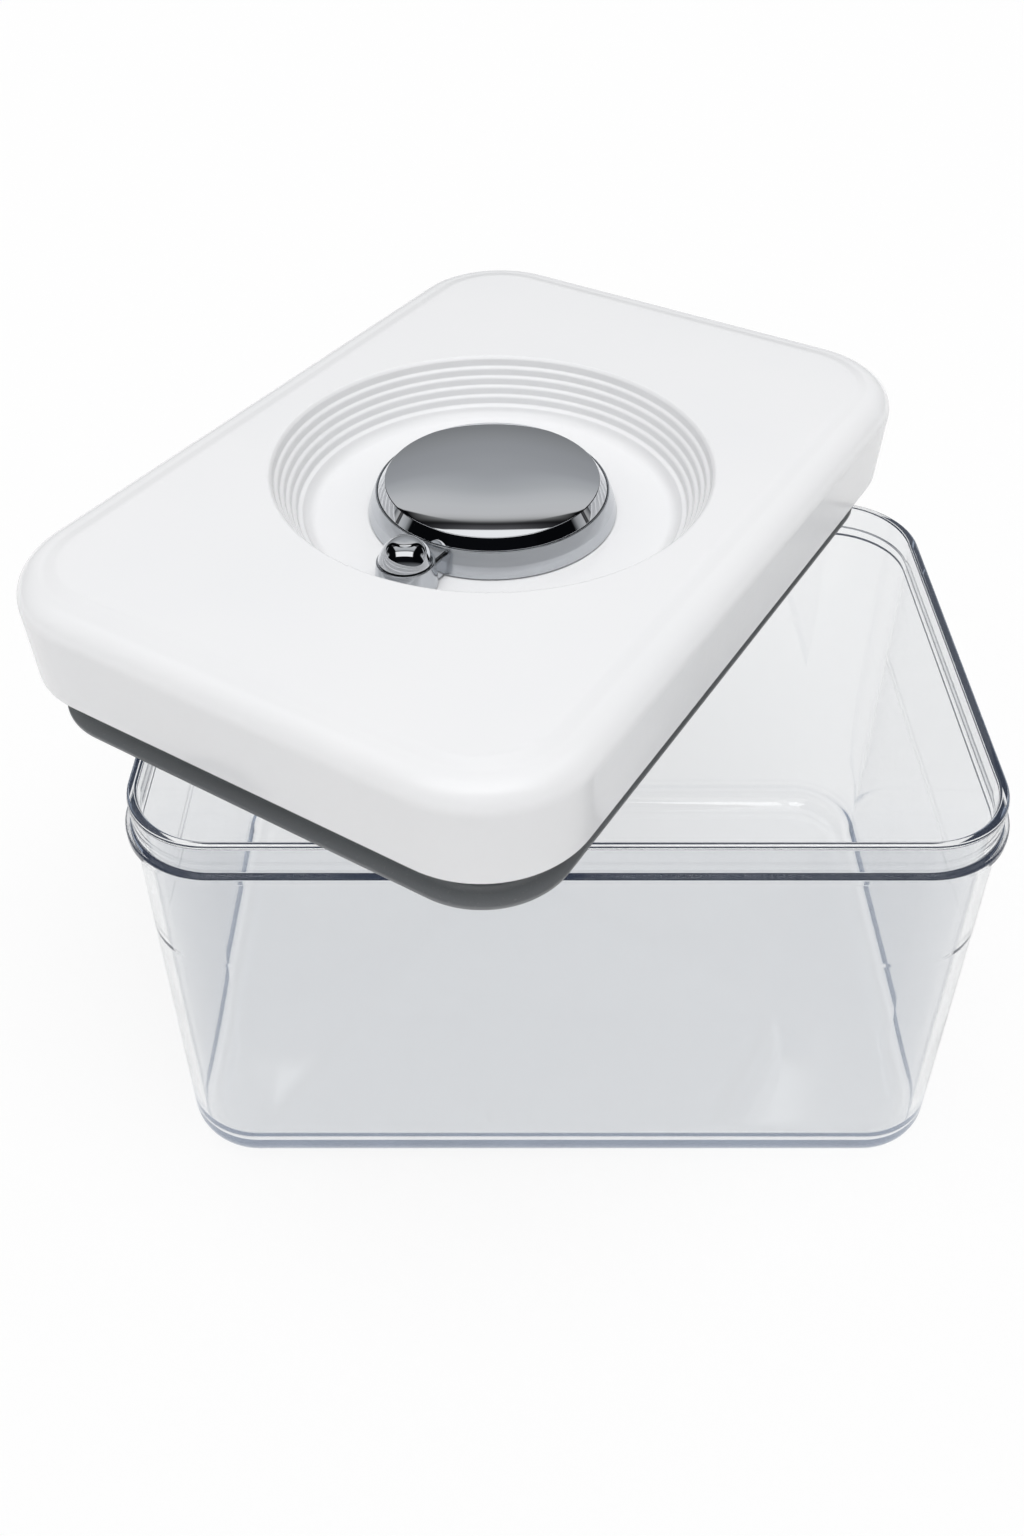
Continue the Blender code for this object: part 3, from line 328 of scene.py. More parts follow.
def rectangle(half_x, half_y, radius, z):
    """A level ring with rounded corners that starts on +X and has as many points as a circle."""
    first = [(half_x, (half_y - radius) * step / SHORT_STEPS) for step in range(SHORT_STEPS)]
    for step in range(CORNER_STEPS + 1):
        a = math.pi / 2 * step / CORNER_STEPS
        first.append((half_x - radius + radius * math.cos(a), half_y - radius + radius * math.sin(a)))
    first += [((half_x - radius) * (1 - step / LONG_STEPS), half_y) for step in range(1, LONG_STEPS + 1)]
    half = first + [(-x, y) for x, y in reversed(first[:-1])]
    return [Vector((x, y, z)) for x, y in half + [(x, -y) for x, y in reversed(half[1:-1])]]


def shape(name, rings, finish, place=Matrix.Identity(4), closed=False):
    """Skins rings into a closed mesh, with no body yet."""
    bm = bmesh.new()
    loops = [[bm.verts.new(point) for point in ring] for ring in rings]
    pairs = list(zip(loops, loops[1:])) + ([(loops[-1], loops[0])] if closed else [])
    for low, high in pairs:
        for i in range(RING_STEPS):
            j = (i + 1) % RING_STEPS
            corners = [low[i % len(low)], low[j % len(low)], high[j % len(high)], high[i % len(high)]]
            bm.faces.new(dict.fromkeys(corners))
    for loop in () if closed else (loops[0], loops[-1]):
        if len(loop) > 1:
            bm.faces.new(loop)
    return make_piece(name, bm, finish, place)


def make_piece(name, bm, finish, place):
    """Turns a bmesh into an object, with its place in its mesh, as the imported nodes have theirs."""
    bmesh.ops.transform(bm, matrix=place, verts=bm.verts)
    bmesh.ops.recalc_face_normals(bm, faces=bm.faces)
    mesh = bpy.data.meshes.new(name)
    bm.to_mesh(mesh)
    bm.free()
    mesh.materials.append(finishes[finish])
    piece = bpy.data.objects.new(name, mesh)
    bpy.context.scene.collection.objects.link(piece)
    return piece


def settle(piece, body, node):
    """Smooth shading with crisp edges, the piece's body and the node that it replaces."""
    piece.data.shade_smooth()
    piece.data.set_sharp_from_angle(angle=SHARP)
    piece.modifiers.new("weighted normals", "WEIGHTED_NORMAL").keep_sharp = True
    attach(piece, body)
    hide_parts(node)
    print(f"{piece.name}: {len(piece.data.polygons)} faces, rides on {body}")


print("rings have", RING_STEPS, "points")

# %% [markdown]
# ## The tub
# The tub is one moulding. Its rim band stands over an outward bead, on which the lid's edge comes down.
# Below, the walls lean in by their draft, and a generous radius leads into a thick, flat base. A soft
# step of a few hundredths of a millimetre round the inside marks how high to fill it and shows as a faint
# line. One profile of (inset from the rim's outline, height, corner radius) describes it all, and the
# ring for each point is the rim's outline drawn in by that inset.

# %% Build the tub
TUB_LENGTH, TUB_WIDTH, TUB_CORNER, TUB_WALL = 168 * MM, 115 * MM, 18 * MM, 2.0 * MM
TUB_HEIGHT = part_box("tub")[1].z
TUB_LEAN = 1.8 * MM / TUB_HEIGHT
RIM_BAND, BEAD_REACH, BEAD_HEIGHT = 6.6 * MM, 1.299 * MM, 2.4 * MM
RIM_RADIUS, BEAD_RADIUS, BEAD_ROOT, BEAD_SLOPE = 0.6 * MM, 0.55 * MM, 0.4 * MM, 0.25 * MM
BASE, OUTER_FILLET, INNER_FILLET = 3.4 * MM, 6.0 * MM, 6.0 * MM
FILL_LINE, FILL_STEP, FILL_SLOPE, FILL_RADIUS = 65 * MM, 0.06 * MM, 0.6 * MM, 3 * MM


def rim(inset, z):
    return rectangle(TUB_LENGTH / 2 - inset, TUB_WIDTH / 2 - inset, TUB_CORNER - inset, z)


def lean(z):
    return (TUB_HEIGHT - z) * TUB_LEAN


bead_top = TUB_HEIGHT - RIM_BAND
bead_low = bead_top - BEAD_HEIGHT
bead_edge = lean(bead_top) - BEAD_REACH
outside = [(lean(0) + OUTER_FILLET * 1.5, 0, 0), (lean(0), 0, OUTER_FILLET)]
outside += [(lean(bead_low), bead_low, BEAD_ROOT), (bead_edge, bead_low + BEAD_SLOPE, BEAD_RADIUS)]
outside += [(bead_edge, bead_top - BEAD_SLOPE, BEAD_RADIUS), (lean(bead_top), bead_top, BEAD_ROOT)]
outside += [(0, TUB_HEIGHT, RIM_RADIUS), (TUB_WALL, TUB_HEIGHT, RIM_RADIUS)]
fill_inset, floor_inset = TUB_WALL + lean(FILL_LINE), TUB_WALL + FILL_STEP + lean(BASE)
inside = [(fill_inset, FILL_LINE + FILL_SLOPE, FILL_RADIUS)]
inside += [(fill_inset + FILL_STEP, FILL_LINE - FILL_SLOPE, FILL_RADIUS)]
inside += [(floor_inset, BASE, INNER_FILLET), (floor_inset + INNER_FILLET * 1.6, BASE, 0)]
tub = shape("clear_tub", [rim(*point) for point in rounded(outside + inside)], "clear_plastic")
settle(tub, "tub", "tub")

# %% [markdown]
# ## The white cover
# The cover is a shell with a 5 mm rounded edge. Its top rises very softly to a flat panel, which only
# shows as a faint line. In the panel is the round dish, whose wall steps down in five rounded ridges
# that give a fingertip something to feel. Rounded rectangles and circles take turns along one closed
# profile, from the outer wall over the panel, down the dish, and back along the underside.

# %% Build the cover
COVER_HEIGHT, COVER_OUT, COVER_WALL, COVER_TOP = 22.5 * MM, 5.5 * MM, 2.6 * MM, 2.2 * MM
COVER_LEAN, COVER_EDGE, PANEL_IN, PANEL_RISE = 1.5 * MM, 5.0 * MM, 8.5 * MM, 0.65 * MM
DISH_DEPTH, DISH_FLOOR_RADIUS, DISH_FILLET = 12.2 * MM, 38.9 * MM, 2.0 * MM
RIDGES, RIDGE_WIDTH, DISH_LIP = 5, 1.1 * MM, 0.6 * MM
LEDGE, LEDGE_BOTTOM, LEDGE_EDGE, LEDGE_ROOT = 1.6 * MM, -13.9 * MM, 1.5 * MM, 3.1 * MM
RIDGE_LEAN, RIDGE_SHARE, SPINDLE_HOLE = 0.3, 0.82, 5.75 * MM


def cover_ring(inset, z):
    return rim(inset - COVER_OUT, z)


wall_in = COVER_LEAN + COVER_WALL
shell = [(wall_in + 4 * MM, -COVER_TOP, 0), (wall_in + 0.5 * MM, -COVER_TOP, 2 * MM)]
shell += [(wall_in, LEDGE_BOTTOM + LEDGE_ROOT, 0.3 * MM)]
shell += [(wall_in + LEDGE, LEDGE_BOTTOM + LEDGE_EDGE, 0.3 * MM)]
shell += [(wall_in + LEDGE, LEDGE_BOTTOM, 0.2 * MM), (wall_in, LEDGE_BOTTOM, 0.3 * MM)]
shell += [(wall_in, -COVER_HEIGHT, 0.4 * MM), (COVER_LEAN, -COVER_HEIGHT, 0.7 * MM)]
shell += [(0, -PANEL_RISE, COVER_EDGE), (PANEL_IN - 2.6 * MM, -PANEL_RISE, 5 * MM), (PANEL_IN, 0, 5 * MM)]
shell.append((PANEL_IN + 2 * MM, 0, 0))
rings = [cover_ring(*point) for point in rounded(shell)]

dish_foot = DISH_FLOOR_RADIUS + DISH_FILLET
dish_edge = dish_foot + RIDGES * RIDGE_WIDTH
drop = (DISH_DEPTH - DISH_LIP - DISH_FILLET) / RIDGES
dish = [(dish_edge + 3 * MM, 0, 0), (dish_edge + DISH_LIP, 0, 0.8 * MM)]
for ridge in range(RIDGES):
    radius, z = dish_edge - ridge * RIDGE_WIDTH, -DISH_LIP - ridge * drop
    valley = (radius - RIDGE_WIDTH * RIDGE_LEAN, z - drop * RIDGE_SHARE, 0.45 * MM)
    dish += [(radius, z, 0.8 * MM), valley]
dish += [(dish_foot - RIDGE_WIDTH * 0.2, -DISH_DEPTH + DISH_FILLET, 0.6 * MM)]
dish += [(dish_foot - DISH_FILLET * 0.7, -DISH_DEPTH, 3 * MM), (SPINDLE_HOLE, -DISH_DEPTH, 0)]
dish += [(SPINDLE_HOLE, -DISH_DEPTH - COVER_TOP, 0), (dish_foot, -DISH_DEPTH - COVER_TOP, 2 * MM)]
dish.append((dish_edge + COVER_TOP, -COVER_TOP, 0))
rings += [circle(*point) for point in rounded(dish)]
cover = shape("white_cover", rings, "white_plastic", LID, closed=True)
settle(cover, "lid", "lid_cover")

# %% [markdown]
# ## The gasket
# The seal is a ring of silicone in the plug's groove with a thin lip that flares out and down, so that
# the tub's wall bends it up as the lid is pressed in. Here it shows its relaxed shape. Its section is
# measured from the rim's outline too, and it is closed on itself instead of at a middle point.

# %% Build the gasket
LIP_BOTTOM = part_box("gasket")[0].z - LID.translation.z
PLUG_INSET, SEAL_HALF, LIP_ROOT, LIP_TIP, LIP = 4.2 * MM, 0.9 * MM, 1.3 * MM, -0.2 * MM, 0.8 * MM
seal_low, seal_top = LIP_BOTTOM + 0.95 * MM, LIP_BOTTOM + 2.35 * MM
seal = [(PLUG_INSET + SEAL_HALF, seal_top, 0.2 * MM), (PLUG_INSET - SEAL_HALF, seal_top, 0.3 * MM)]
seal += [(PLUG_INSET - LIP_ROOT, (seal_low + seal_top) / 2, 1.2 * MM)]
seal += [(LIP_TIP, LIP_BOTTOM + LIP, 0.3 * MM), (LIP_TIP, LIP_BOTTOM, 0.3 * MM)]
seal += [(LIP_TIP + LIP, LIP_BOTTOM, 0.3 * MM), (PLUG_INSET - SEAL_HALF, seal_low, 0.8 * MM)]
seal.append((PLUG_INSET + SEAL_HALF, seal_low, 0.2 * MM))
rings = [rim(*point) for point in rounded(seal, closed=True)]
gasket = shape("lip_gasket", rings, "dark_silicone", LID, closed=True)
settle(gasket, "lid", "gasket")

# %% [markdown]
# ## The knob
# The knob is a plated ring that widens to its foot, fast down to a soft break halfway and more slowly
# below it. An arm and a finger post are one piece with it, and the post widens downwards too. The arm and
# the post are joined to the ring by Booleans, and the result is kept as plain mesh so that its shading
# can be set afterwards.

# %% Turn the ring and join the arm and the post
KNOB_RIM, KNOB_FOOT = -6.45 * MM, -11.9 * MM
DOME_RADIUS, DOME_GAP, KNOB_TOP_RADIUS, KNOB_FOOT_RADIUS = 24.5 * MM, 0.12 * MM, 24.98 * MM, 26.8 * MM
KNOB_BREAK_RADIUS, KNOB_BREAK = 26.1 * MM, 0.52
CRANK_RADIUS, POST_TOP, POST_FOOT = 32.4 * MM, 5.9 * MM, 6.5 * MM
KNOB_FLOOR_TOP, KNOB_FLOOR_LOW, SPINDLE_FIT = -9.8 * MM, -11.6 * MM, 3.8 * MM
ARM_HALF, ARM_TOP, ARM_LOW = 5.2 * MM, KNOB_RIM - 0.4 * MM, KNOB_FOOT + 0.3 * MM


def combine(piece, other, operation="UNION"):
    """Unites another mesh with a piece for good, or cuts it away."""
    change = piece.modifiers.new("change", "BOOLEAN")
    change.operation, change.object = operation, other
    bpy.context.view_layer.update()
    mesh = bpy.data.meshes.new_from_object(piece.evaluated_get(bpy.context.evaluated_depsgraph_get()))
    piece.modifiers.clear()
    piece.data = mesh
    bpy.data.objects.remove(other)


knob_break = KNOB_RIM - (KNOB_RIM - KNOB_FOOT) * KNOB_BREAK
well = DOME_RADIUS + DOME_GAP
ring = [(well, KNOB_RIM, 0.2 * MM), (KNOB_TOP_RADIUS, KNOB_RIM, 0.18 * MM)]
ring += [(KNOB_BREAK_RADIUS, knob_break, 1.2 * MM)]
ring += [(KNOB_FOOT_RADIUS, KNOB_FOOT, 0.2 * MM), (DOME_RADIUS, KNOB_FOOT, 0.1 * MM)]
ring += [(DOME_RADIUS, KNOB_FLOOR_LOW, 0.1 * MM), (SPINDLE_FIT, KNOB_FLOOR_LOW, 0.1 * MM)]
ring += [(SPINDLE_FIT, KNOB_FLOOR_TOP, 0.1 * MM), (well, KNOB_FLOOR_TOP, 0.3 * MM)]
rings = [circle(*point) for point in rounded(ring, closed=True)]
knob = shape("crank_knob", rings, "satin_chrome", LID, closed=True)

post_place = LID @ Matrix.Translation((-CRANK_RADIUS, 0, 0))
post_profile = rounded([(0, KNOB_FOOT, 0), (POST_FOOT, KNOB_FOOT, 0.3 * MM),
                        (POST_TOP, KNOB_RIM, 0.25 * MM), (0, KNOB_RIM, 0)])
post = shape("finger_post", [circle(*point) for point in post_profile], "satin_chrome", post_place)

arm_outline = rounded([(-ARM_HALF, ARM_LOW, 0.3 * MM), (ARM_HALF, ARM_LOW, 0.3 * MM),
                       (ARM_HALF, ARM_TOP, 1.0 * MM), (-ARM_HALF, ARM_TOP, 1.0 * MM)], closed=True)
bm = bmesh.new()
ends = [[bm.verts.new((x, y, z)) for y, z in arm_outline] for x in (-CRANK_RADIUS, ARM_HALF - well)]
bm.faces.new(ends[0])
bm.faces.new(ends[1])
for i, j in zip(range(len(arm_outline)), [*range(1, len(arm_outline)), 0]):
    bm.faces.new((ends[0][i], ends[0][j], ends[1][j], ends[1][i]))
arm = make_piece("arm", bm, "satin_chrome", LID)
core_radius, core_low = well + 0.3 * MM, KNOB_FOOT - MM
core = [(0, core_low), (core_radius, core_low), (core_radius, 0), (0, 0)]
combine(arm, shape("core", [circle(*point) for point in core], "satin_chrome", LID), "DIFFERENCE")
combine(knob, post)
combine(knob, arm)
settle(knob, "crank", "knob_body")

# %% [markdown]
# ## The dome and the ball cap
# The knob's top is the vent's push button: a plated dome that is nearly flat in the middle and steeper
# outwards, with a steep polished chamfer round its edge. The steeper part squeezes the bright and dark
# bands of the studio together near the front, and the chamfer mirrors the dark below the studio's window.
# The finger post ends in a plated ball-shaped cap.

# %% Turn the dome and the cap
DOME_RISE, DOME_POWER, DOME_SHOULDER, DOME_WALL = 1.6 * MM, 3, 22.9 * MM, 1.2 * MM
CHAMFER_LOW, DOME_LOW = -6.4 * MM, -7.6 * MM
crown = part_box("vent_button")[1].z - LID.translation.z
CURVE_STEPS = 40
shares = [index / CURVE_STEPS for index in range(CURVE_STEPS)]
over = [(DOME_SHOULDER * share, crown - DOME_RISE * share ** DOME_POWER, 0) for share in shares]
over += [(DOME_SHOULDER, crown - DOME_RISE, 0.3 * MM), (DOME_RADIUS, CHAMFER_LOW, 0.2 * MM)]
over += [(DOME_RADIUS, DOME_LOW, 0.2 * MM), (DOME_RADIUS - DOME_WALL, DOME_LOW, 0.2 * MM)]
over += [(DOME_RADIUS - DOME_WALL, CHAMFER_LOW - DOME_WALL / 4, 0.3 * MM)]
over += [(DOME_SHOULDER - DOME_WALL, crown - DOME_RISE - DOME_WALL, 0.3 * MM)]
BOSS, STEM_HOLE, BOSS_LOW = 3.1 * MM, 1.9 * MM, -6.4 * MM
over += [(BOSS, crown - DOME_WALL, 0.3 * MM), (BOSS, BOSS_LOW, 0.1 * MM), (STEM_HOLE, BOSS_LOW, 0.1 * MM)]
over += [(STEM_HOLE, crown - 2 * DOME_WALL, 0.1 * MM), (0, crown - 2 * DOME_WALL, 0)]
dome = shape("vent_dome", [circle(*point) for point in rounded(over)], "chrome", LID)
settle(dome, "button", "vent_button")

CAP, CAP_RISE, CAP_POWER, CAP_GAP = 5.6 * MM, 4.6 * MM, 3.3, 0.25 * MM
CAP_PEG, PEG_LENGTH = 1.5 * MM, 1.6 * MM
cap_low = KNOB_RIM + CAP_GAP
ball = [(CAP * share, cap_low + CAP_RISE * (1 - share ** CAP_POWER), 0) for share in shares]
ball += [(CAP, cap_low, 0.2 * MM), (CAP_PEG, cap_low, 0), (CAP_PEG, KNOB_RIM - PEG_LENGTH, 0.2 * MM)]
ball.append((0, KNOB_RIM - PEG_LENGTH, 0))
cap = shape("ball_cap", [circle(*point) for point in rounded(ball)], "chrome", post_place)
settle(cap, "crank", "post_cap")

# %% [markdown]
# ## The vent spring
# A round wire spring pushes the dome up. It has to get shorter as the dome goes down, which no solid that
# rides on one body can do. It's wound here as a tube along a helix, with flat end turns.

# %% Wind the spring
SPRING_TURNS, FLAT_TURNS, SPRING_STEPS, WIRE_STEPS, SPRING_WIRE = 4, 0.75, 32, 10, 0.35 * MM
low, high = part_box("vent_spring")
coil_radius = (high.x - low.x) / 2 - SPRING_WIRE
foot, top = low.z + SPRING_WIRE, high.z - SPRING_WIRE
around = [math.tau * side / WIRE_STEPS for side in range(WIRE_STEPS)]
bm = bmesh.new()
loops = []
for step in range(SPRING_TURNS * SPRING_STEPS + 1):
    turned, angle = step / SPRING_STEPS, math.tau * step / SPRING_STEPS
    climb = min(max((turned - FLAT_TURNS) / (SPRING_TURNS - 2 * FLAT_TURNS), 0), 1)
    outwards = Vector((math.cos(angle), math.sin(angle), 0))
    middle = outwards * coil_radius + Vector((0, 0, foot + (top - foot) * climb))
    section = [outwards * math.cos(a) + Vector((0, 0, math.sin(a))) for a in around]
    loops.append([bm.verts.new(middle + SPRING_WIRE * spoke) for spoke in section])
for before, after in zip(loops, loops[1:]):
    for i in range(WIRE_STEPS):
        bm.faces.new((before[i - 1], before[i], after[i], after[i - 1]))
bm.faces.new(loops[0])
bm.faces.new(loops[-1])
spring_place = Matrix.Translation(((low.x + high.x) / 2, (low.y + high.y) / 2, 0))
spring = make_piece("wire_spring", bm, "steel", spring_place)
settle(spring, "crank", "vent_spring")
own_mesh(spring)

# %% [markdown]
# ## The pieces inside the lid
# The tray, the pump and the vent keep their CAD solids, because their shapes are right. They only need
# their finish and soft shading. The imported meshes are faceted, so a small node group merges their
# points and smooths every edge that turns less than 30 degrees.

# %% Smooth and finish the inner pieces
MERGE_UNDER, SMOOTH_UNDER = MM / 200, math.radians(30)
smoothing = bpy.data.node_groups.new("smooth by angle", "GeometryNodeTree")
smoothing.interface.new_socket("Geometry", in_out="INPUT", socket_type="NodeSocketGeometry")
smoothing.interface.new_socket("Geometry", in_out="OUTPUT", socket_type="NodeSocketGeometry")
entry = add_node(smoothing, "NodeGroupInput")
merged = add_node(smoothing, "GeometryNodeMergeByDistance", {"Distance": MERGE_UNDER},
                  {"Geometry": entry.outputs[0]})
edge_angle = add_node(smoothing, "GeometryNodeInputMeshEdgeAngle")
gentle = add_node(smoothing, "FunctionNodeCompare", {"B": SMOOTH_UNDER},
                  {"A": edge_angle.outputs["Unsigned Angle"]}, data_type="FLOAT", operation="LESS_EQUAL")
faces = add_node(smoothing, "GeometryNodeSetShadeSmooth", {"Shade Smooth": True},
                 {"Geometry": merged.outputs[0]}, domain="FACE")
edges = add_node(smoothing, "GeometryNodeSetShadeSmooth", domain="EDGE",
                 links={"Geometry": faces.outputs[0], "Shade Smooth": gentle.outputs["Result"]})
add_node(smoothing, "NodeGroupOutput", links={0: edges.outputs[0]})

slots = {part["node"]: part["material_slot"] for part in frame["record"]["subparts"]}
kept = [name for name, node in frame["nodes"].items() if not node.hide_render]
for name in kept:
    node = frame["nodes"][name]
    node.data.materials.clear()
    node.data.materials.append(finishes[slots[name]])
    node.modifiers.new("smoothing", "NODES").node_group = smoothing
    node.modifiers.new("weighted normals", "WEIGHTED_NORMAL").keep_sharp = True
print(len(kept), "inner pieces keep their CAD solids")

# %% [markdown]
# ## The floor and the light
# The jar stands in a white studio. The floor is a diffuse white that takes the jar's shadow, mixed for
# the camera, for gloss and for light through the plastic with a plain white, so that it meets the white
# backdrop without an edge. The world gives soft light from all round at a level where a colour renders
# about as it's written, and a wide sun overhead adds direction.

# %% Lay the floor
FLOOR_SIZE, FLOOR_DROP, GLOW = 4.0, 0.3 * MM, 0.82
bpy.ops.mesh.primitive_plane_add(size=FLOOR_SIZE, location=(0, 0, -FLOOR_DROP))
floor = bpy.context.object
floor.name = "floor"
paper = bpy.data.materials.new("white paper")
paper.use_nodes = True
tree = paper.node_tree
tree.nodes.clear()
rays = add_node(tree, "ShaderNodeLightPath").outputs
mirrored_or_seen = add_node(tree, "ShaderNodeMath", operation="MAXIMUM",
                            links={0: rays["Is Camera Ray"], 1: rays["Is Glossy Ray"]})
shows = add_node(tree, "ShaderNodeMath", operation="MAXIMUM",
                 links={0: mirrored_or_seen.outputs[0], 1: rays["Is Transmission Ray"]})
glowing = add_node(tree, "ShaderNodeMath", {1: GLOW}, {0: shows.outputs[0]}, operation="MULTIPLY")
matt = add_node(tree, "ShaderNodeBsdfDiffuse", {"Color": linear("#F6F6F6")})
white = add_node(tree, "ShaderNodeEmission", {"Color": linear("#FFFFFF"), "Strength": 1.0})
paper_mix = add_node(tree, "ShaderNodeMixShader",
                     links={0: glowing.outputs[0], 1: matt.outputs[0], 2: white.outputs[0]})
add_node(tree, "ShaderNodeOutputMaterial", links={"Surface": paper_mix.outputs[0]})
floor.data.materials.append(paper)
print("floor of", FLOOR_SIZE, "m")

# %% [markdown]
# ## The studio that plating mirrors
# Polished plating shows whatever is around it, so the world also holds the studio that it mirrors, as a
# scale of tones in degrees from the horizon behind the jar, over the top, to the horizon in front. Behind
# is a grey wall that brightens upwards, up to a dark gap and a grey strip. Overhead is a pale ceiling,
# and in front it is dark, with paler walls near the horizon.

# %% Set the world's tones
BACKDROP, SOFT_LIGHT = 1.0, 0.42
world = bpy.data.worlds.new("white studio")
bpy.context.scene.world = world
world.use_nodes = True
tree = world.node_tree
tree.nodes.clear()
direction = add_node(tree, "ShaderNodeTexCoord").outputs["Generated"]
parts = add_node(tree, "ShaderNodeSeparateXYZ", links={0: direction})
over_top = add_node(tree, "ShaderNodeMath", links={0: parts.outputs["Z"], 1: parts.outputs["Y"]},
                    operation="ARCTAN2")
degrees_over = add_node(tree, "ShaderNodeMath", {1: 180 / math.pi}, {0: over_top.outputs[0]},
                        operation="MULTIPLY")
part_way = add_node(tree, "ShaderNodeMath", {1: 180}, {0: degrees_over.outputs[0]}, operation="DIVIDE")
ROOM = ((0, "#808284"), (13, "#87898B"), (20, "#939597"), (25, "#9B9DA0"), (28.4, "#9EA0A3"),
        (31.8, "#A4A6A9"), (33.5, "#AEB0B3"), (35.6, "#B5B7B9"), (38.3, "#C3C4C6"), (41.5, "#CACBCC"),
        (45.5, "#CBCBCC"), (47.3, "#C0C0C0"), (48.4, "#A4A4A4"), (49.2, "#7A7A7A"), (50.2, "#1A1A1C"),
        (51.5, "#464648"), (53.5, "#5C5C5E"), (61, "#38383A"), (62, "#C8C9CB"), (88, "#B4B6B8"),
        (98, "#77797B"), (101, "#08090B"), (150, "#0C0D10"), (162, "#6E7073"), (178, "#9A9C9F"),
        (180, "#F0F0F0"))
studio = add_tones(tree, [(degrees / 180, tone) for degrees, tone in ROOM], part_way.outputs[0])
print("room tones:", len(ROOM))

# %% [markdown]
# On those tones lie cards, as a photographer would hang them. Two dark ones bow down at the sides of the
# ceiling, and two dark flags stand left and right, which keeps the plating's sides from going pale. A
# white strip light hangs behind and a window-like softbox in front. Each has its limits over the top, in
# degrees, and across, in shares of the view's X, with a soft edge.

# %% Hang the cards
def between(value, low, high, soft):
    """1 where a value lies between low and high, and 0 outside, over a soft edge."""
    off = add_node(tree, "ShaderNodeMath", {1: (low + high) / 2}, {0: value}, operation="SUBTRACT")
    away = add_node(tree, "ShaderNodeMath", links={0: off.outputs[0]}, operation="ABSOLUTE")
    half = (high - low) / 2
    edge = add_node(tree, "ShaderNodeMapRange", {"From Min": half + soft, "From Max": half - soft},
                    {"Value": away.outputs[0]})
    return edge.outputs["Result"]


CEILING_BOW, EDGE_DEGREES = 80, 0.3
CARDS = (  # first and last degree, left, right, soft edge, bow, tone
    (49.9, 75, -1.1, -0.16, 0.1, CEILING_BOW, "#060709"),
    (49.9, 75, 0.14, 1.1, 0.1, CEILING_BOW, "#060709"),
    (30, 150, -0.94, -0.6, 0.02, 0, "#08090B"),
    (30, 150, 0.6, 0.94, 0.02, 0, "#08090B"),
    (53.8, 61, -0.21, 0.18, 0.015, 0, "#FFFFFF"),
    (101, 130, -0.62, 0.58, 0.03, 0, "#FFFFFF"),
)
across = add_node(tree, "ShaderNodeMath", operation="MULTIPLY",
                  links={0: parts.outputs["X"], 1: parts.outputs["X"]})
for first, last, left, right, edge_width, bow, tone in CARDS:
    bowed = add_node(tree, "ShaderNodeMath", {1: bow}, {0: across.outputs[0], 2: degrees_over.outputs[0]},
                     operation="MULTIPLY_ADD")
    card = add_node(tree, "ShaderNodeMath", operation="MULTIPLY",
                    links={0: between(bowed.outputs[0], first, last, EDGE_DEGREES),
                           1: between(parts.outputs["X"], left, right, edge_width)})
    hung = add_node(tree, "ShaderNodeMix", {"B": linear(tone)}, {"Factor": card.outputs[0], "A": studio},
                    data_type="RGBA")
    studio = hung.outputs["Result"]
print("cards:", len(CARDS))

# %% [markdown]
# Each kind of ray gets its own share of this world. Gloss mirrors the studio. Light through the clear
# plastic sees nothing in it that is darker than slate, and near the horizon the white backdrop, so the
# plastic stays clear in low views and its lines stay blue-grey. The camera sees plain white, and
# everything else gets soft light.

# %% Give each kind of ray its world
CLEAR_FROM, CLEAR_TO, CLEAR_EDGE = -1.1, 0.24, 0.06
rays = add_node(tree, "ShaderNodeLightPath").outputs
mirrored = add_node(tree, "ShaderNodeMath", operation="MAXIMUM",
                    links={0: rays["Is Glossy Ray"], 1: rays["Is Transmission Ray"]})
slate = add_node(tree, "ShaderNodeMix", {"B": linear("#38445A")},
                 {"Factor": rays["Transmission Depth"], "A": studio}, data_type="RGBA", blend_type="LIGHTEN")
near_horizon = add_node(tree, "ShaderNodeMath", operation="MULTIPLY",
                        links={0: between(parts.outputs["Z"], CLEAR_FROM, CLEAR_TO, CLEAR_EDGE),
                               1: rays["Is Transmission Ray"]})
clear_view = add_node(tree, "ShaderNodeMix", {"B": [BACKDROP] * 3 + [1]},
                      {"Factor": near_horizon.outputs[0], "A": slate.outputs["Result"]}, data_type="RGBA")
lit = add_node(tree, "ShaderNodeMix", {"A": [SOFT_LIGHT] * 3 + [1]},
               {"Factor": mirrored.outputs[0], "B": clear_view.outputs["Result"]}, data_type="RGBA")
shown = add_node(tree, "ShaderNodeMix", {"B": [BACKDROP] * 3 + [1]},
                 {"Factor": rays["Is Camera Ray"], "A": lit.outputs["Result"]}, data_type="RGBA")
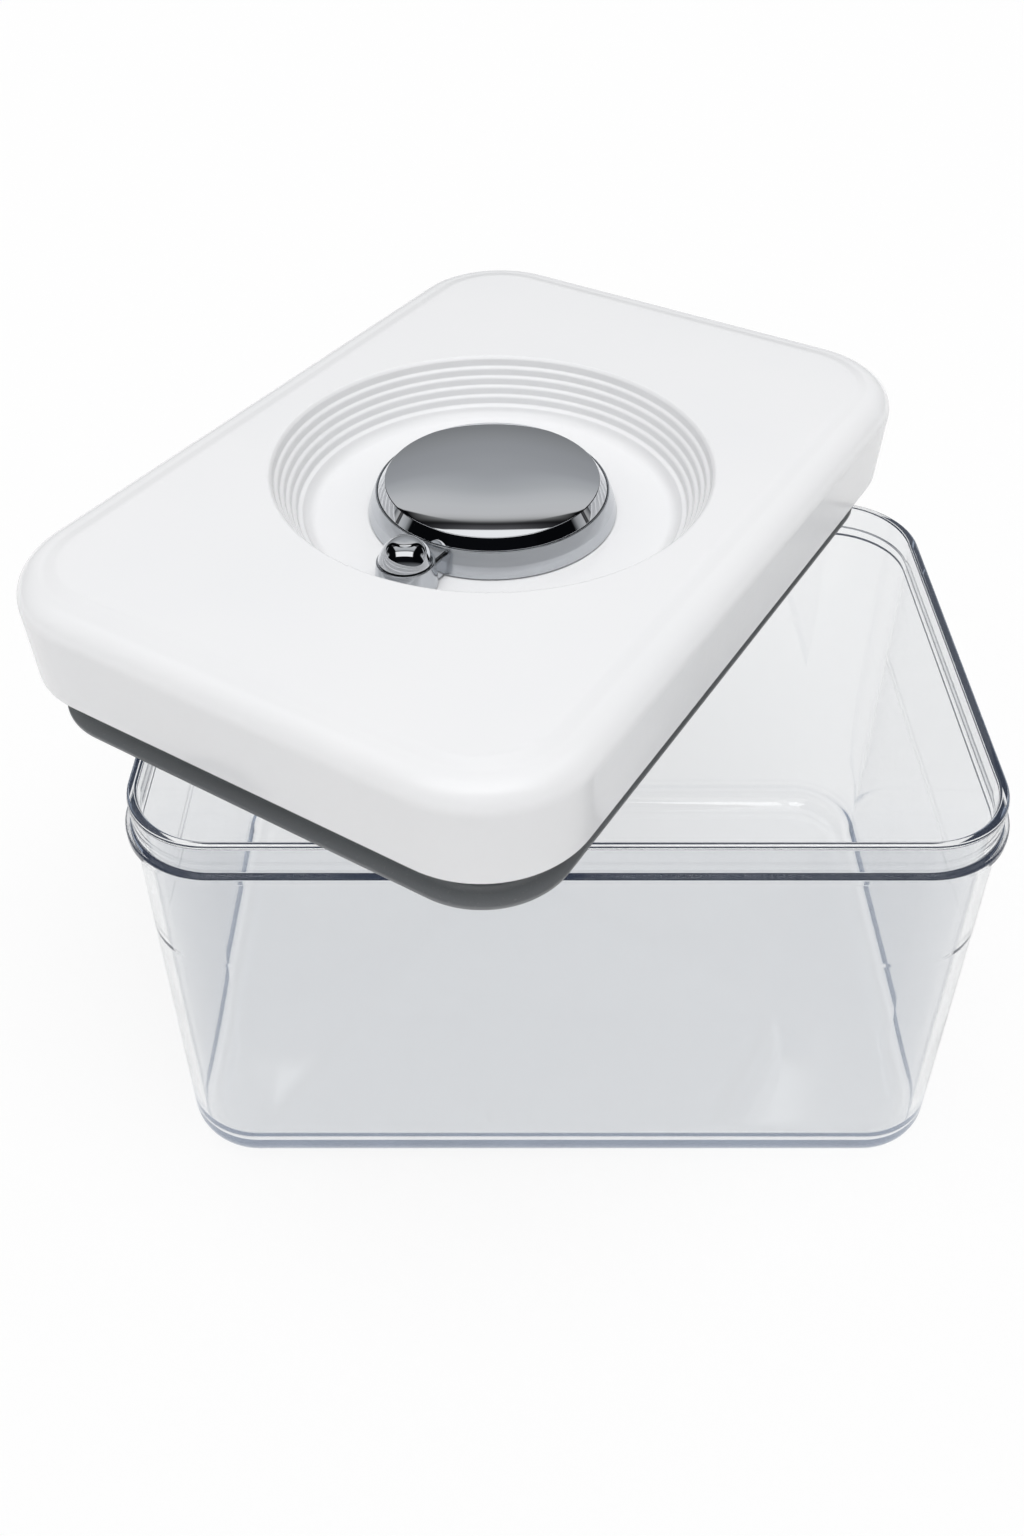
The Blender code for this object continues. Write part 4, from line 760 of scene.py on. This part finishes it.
sky = add_node(tree, "ShaderNodeBackground", {"Strength": 1.0}, {"Color": shown.outputs["Result"]})
add_node(tree, "ShaderNodeOutputWorld", links={"Surface": sky.outputs[0]})
print("backdrop", BACKDROP, "and soft light", SOFT_LIGHT)

# %% [markdown]
# ## The key light
# A sun that is 50 degrees wide gives the jar direction and its soft contact shadow. It stands high and a
# little in front. Gloss doesn't show it, since the studio above already has the lights that plating
# mirrors.

# %% Hang the key light
KEY_LIGHT, KEY_SPREAD, KEY_FROM = 2.0, math.radians(50), (0.0, -0.22, 0.97)
key_data = bpy.data.lights.new("key light", "SUN")
key_data.energy, key_data.angle = KEY_LIGHT, KEY_SPREAD
key = bpy.data.objects.new("key light", key_data)
bpy.context.scene.collection.objects.link(key)
key.location = KEY_FROM
key.rotation_euler = (-key.location).to_track_quat("-Z", "Y").to_euler()
key.visible_glossy = False
print("key light from", [round(value, 2) for value in key.location])

# %% [markdown]
# ## The camera
# The lid shows its top and the jar its front, so the camera looks down by about 36 degrees. The
# photograph's frame is taller than the view needs, and a small shift keeps the verticals as they are.

# %% Place the camera
FRAME_HEIGHT, FOCAL_PIXELS, AXIS_PIXEL = 1536, 1515.7, 568
CAMERA_AT, LOOK_DOWN = (-10.62 * MM, -251.13 * MM, 300.64 * MM), 35.67
camera_data = bpy.data.cameras.new("camera")
camera_data.sensor_width = 36
camera_data.lens = FOCAL_PIXELS / FRAME_HEIGHT * camera_data.sensor_width
camera_data.shift_y = (AXIS_PIXEL - FRAME_HEIGHT / 2) / FRAME_HEIGHT
camera = bpy.data.objects.new("camera", camera_data)
bpy.context.scene.collection.objects.link(camera)
camera.location = CAMERA_AT
camera.rotation_euler = (math.radians(90 - LOOK_DOWN), 0, 0)
bpy.context.scene.camera = camera
bpy.context.scene.view_settings.view_transform = "Standard"
print(f"lens {camera_data.lens:.1f} mm, shift {camera_data.shift_y:.3f}")

# %% [markdown]
# ## The end
# The visual model has to stay in the CAD model's box.

# %% Import json
import json
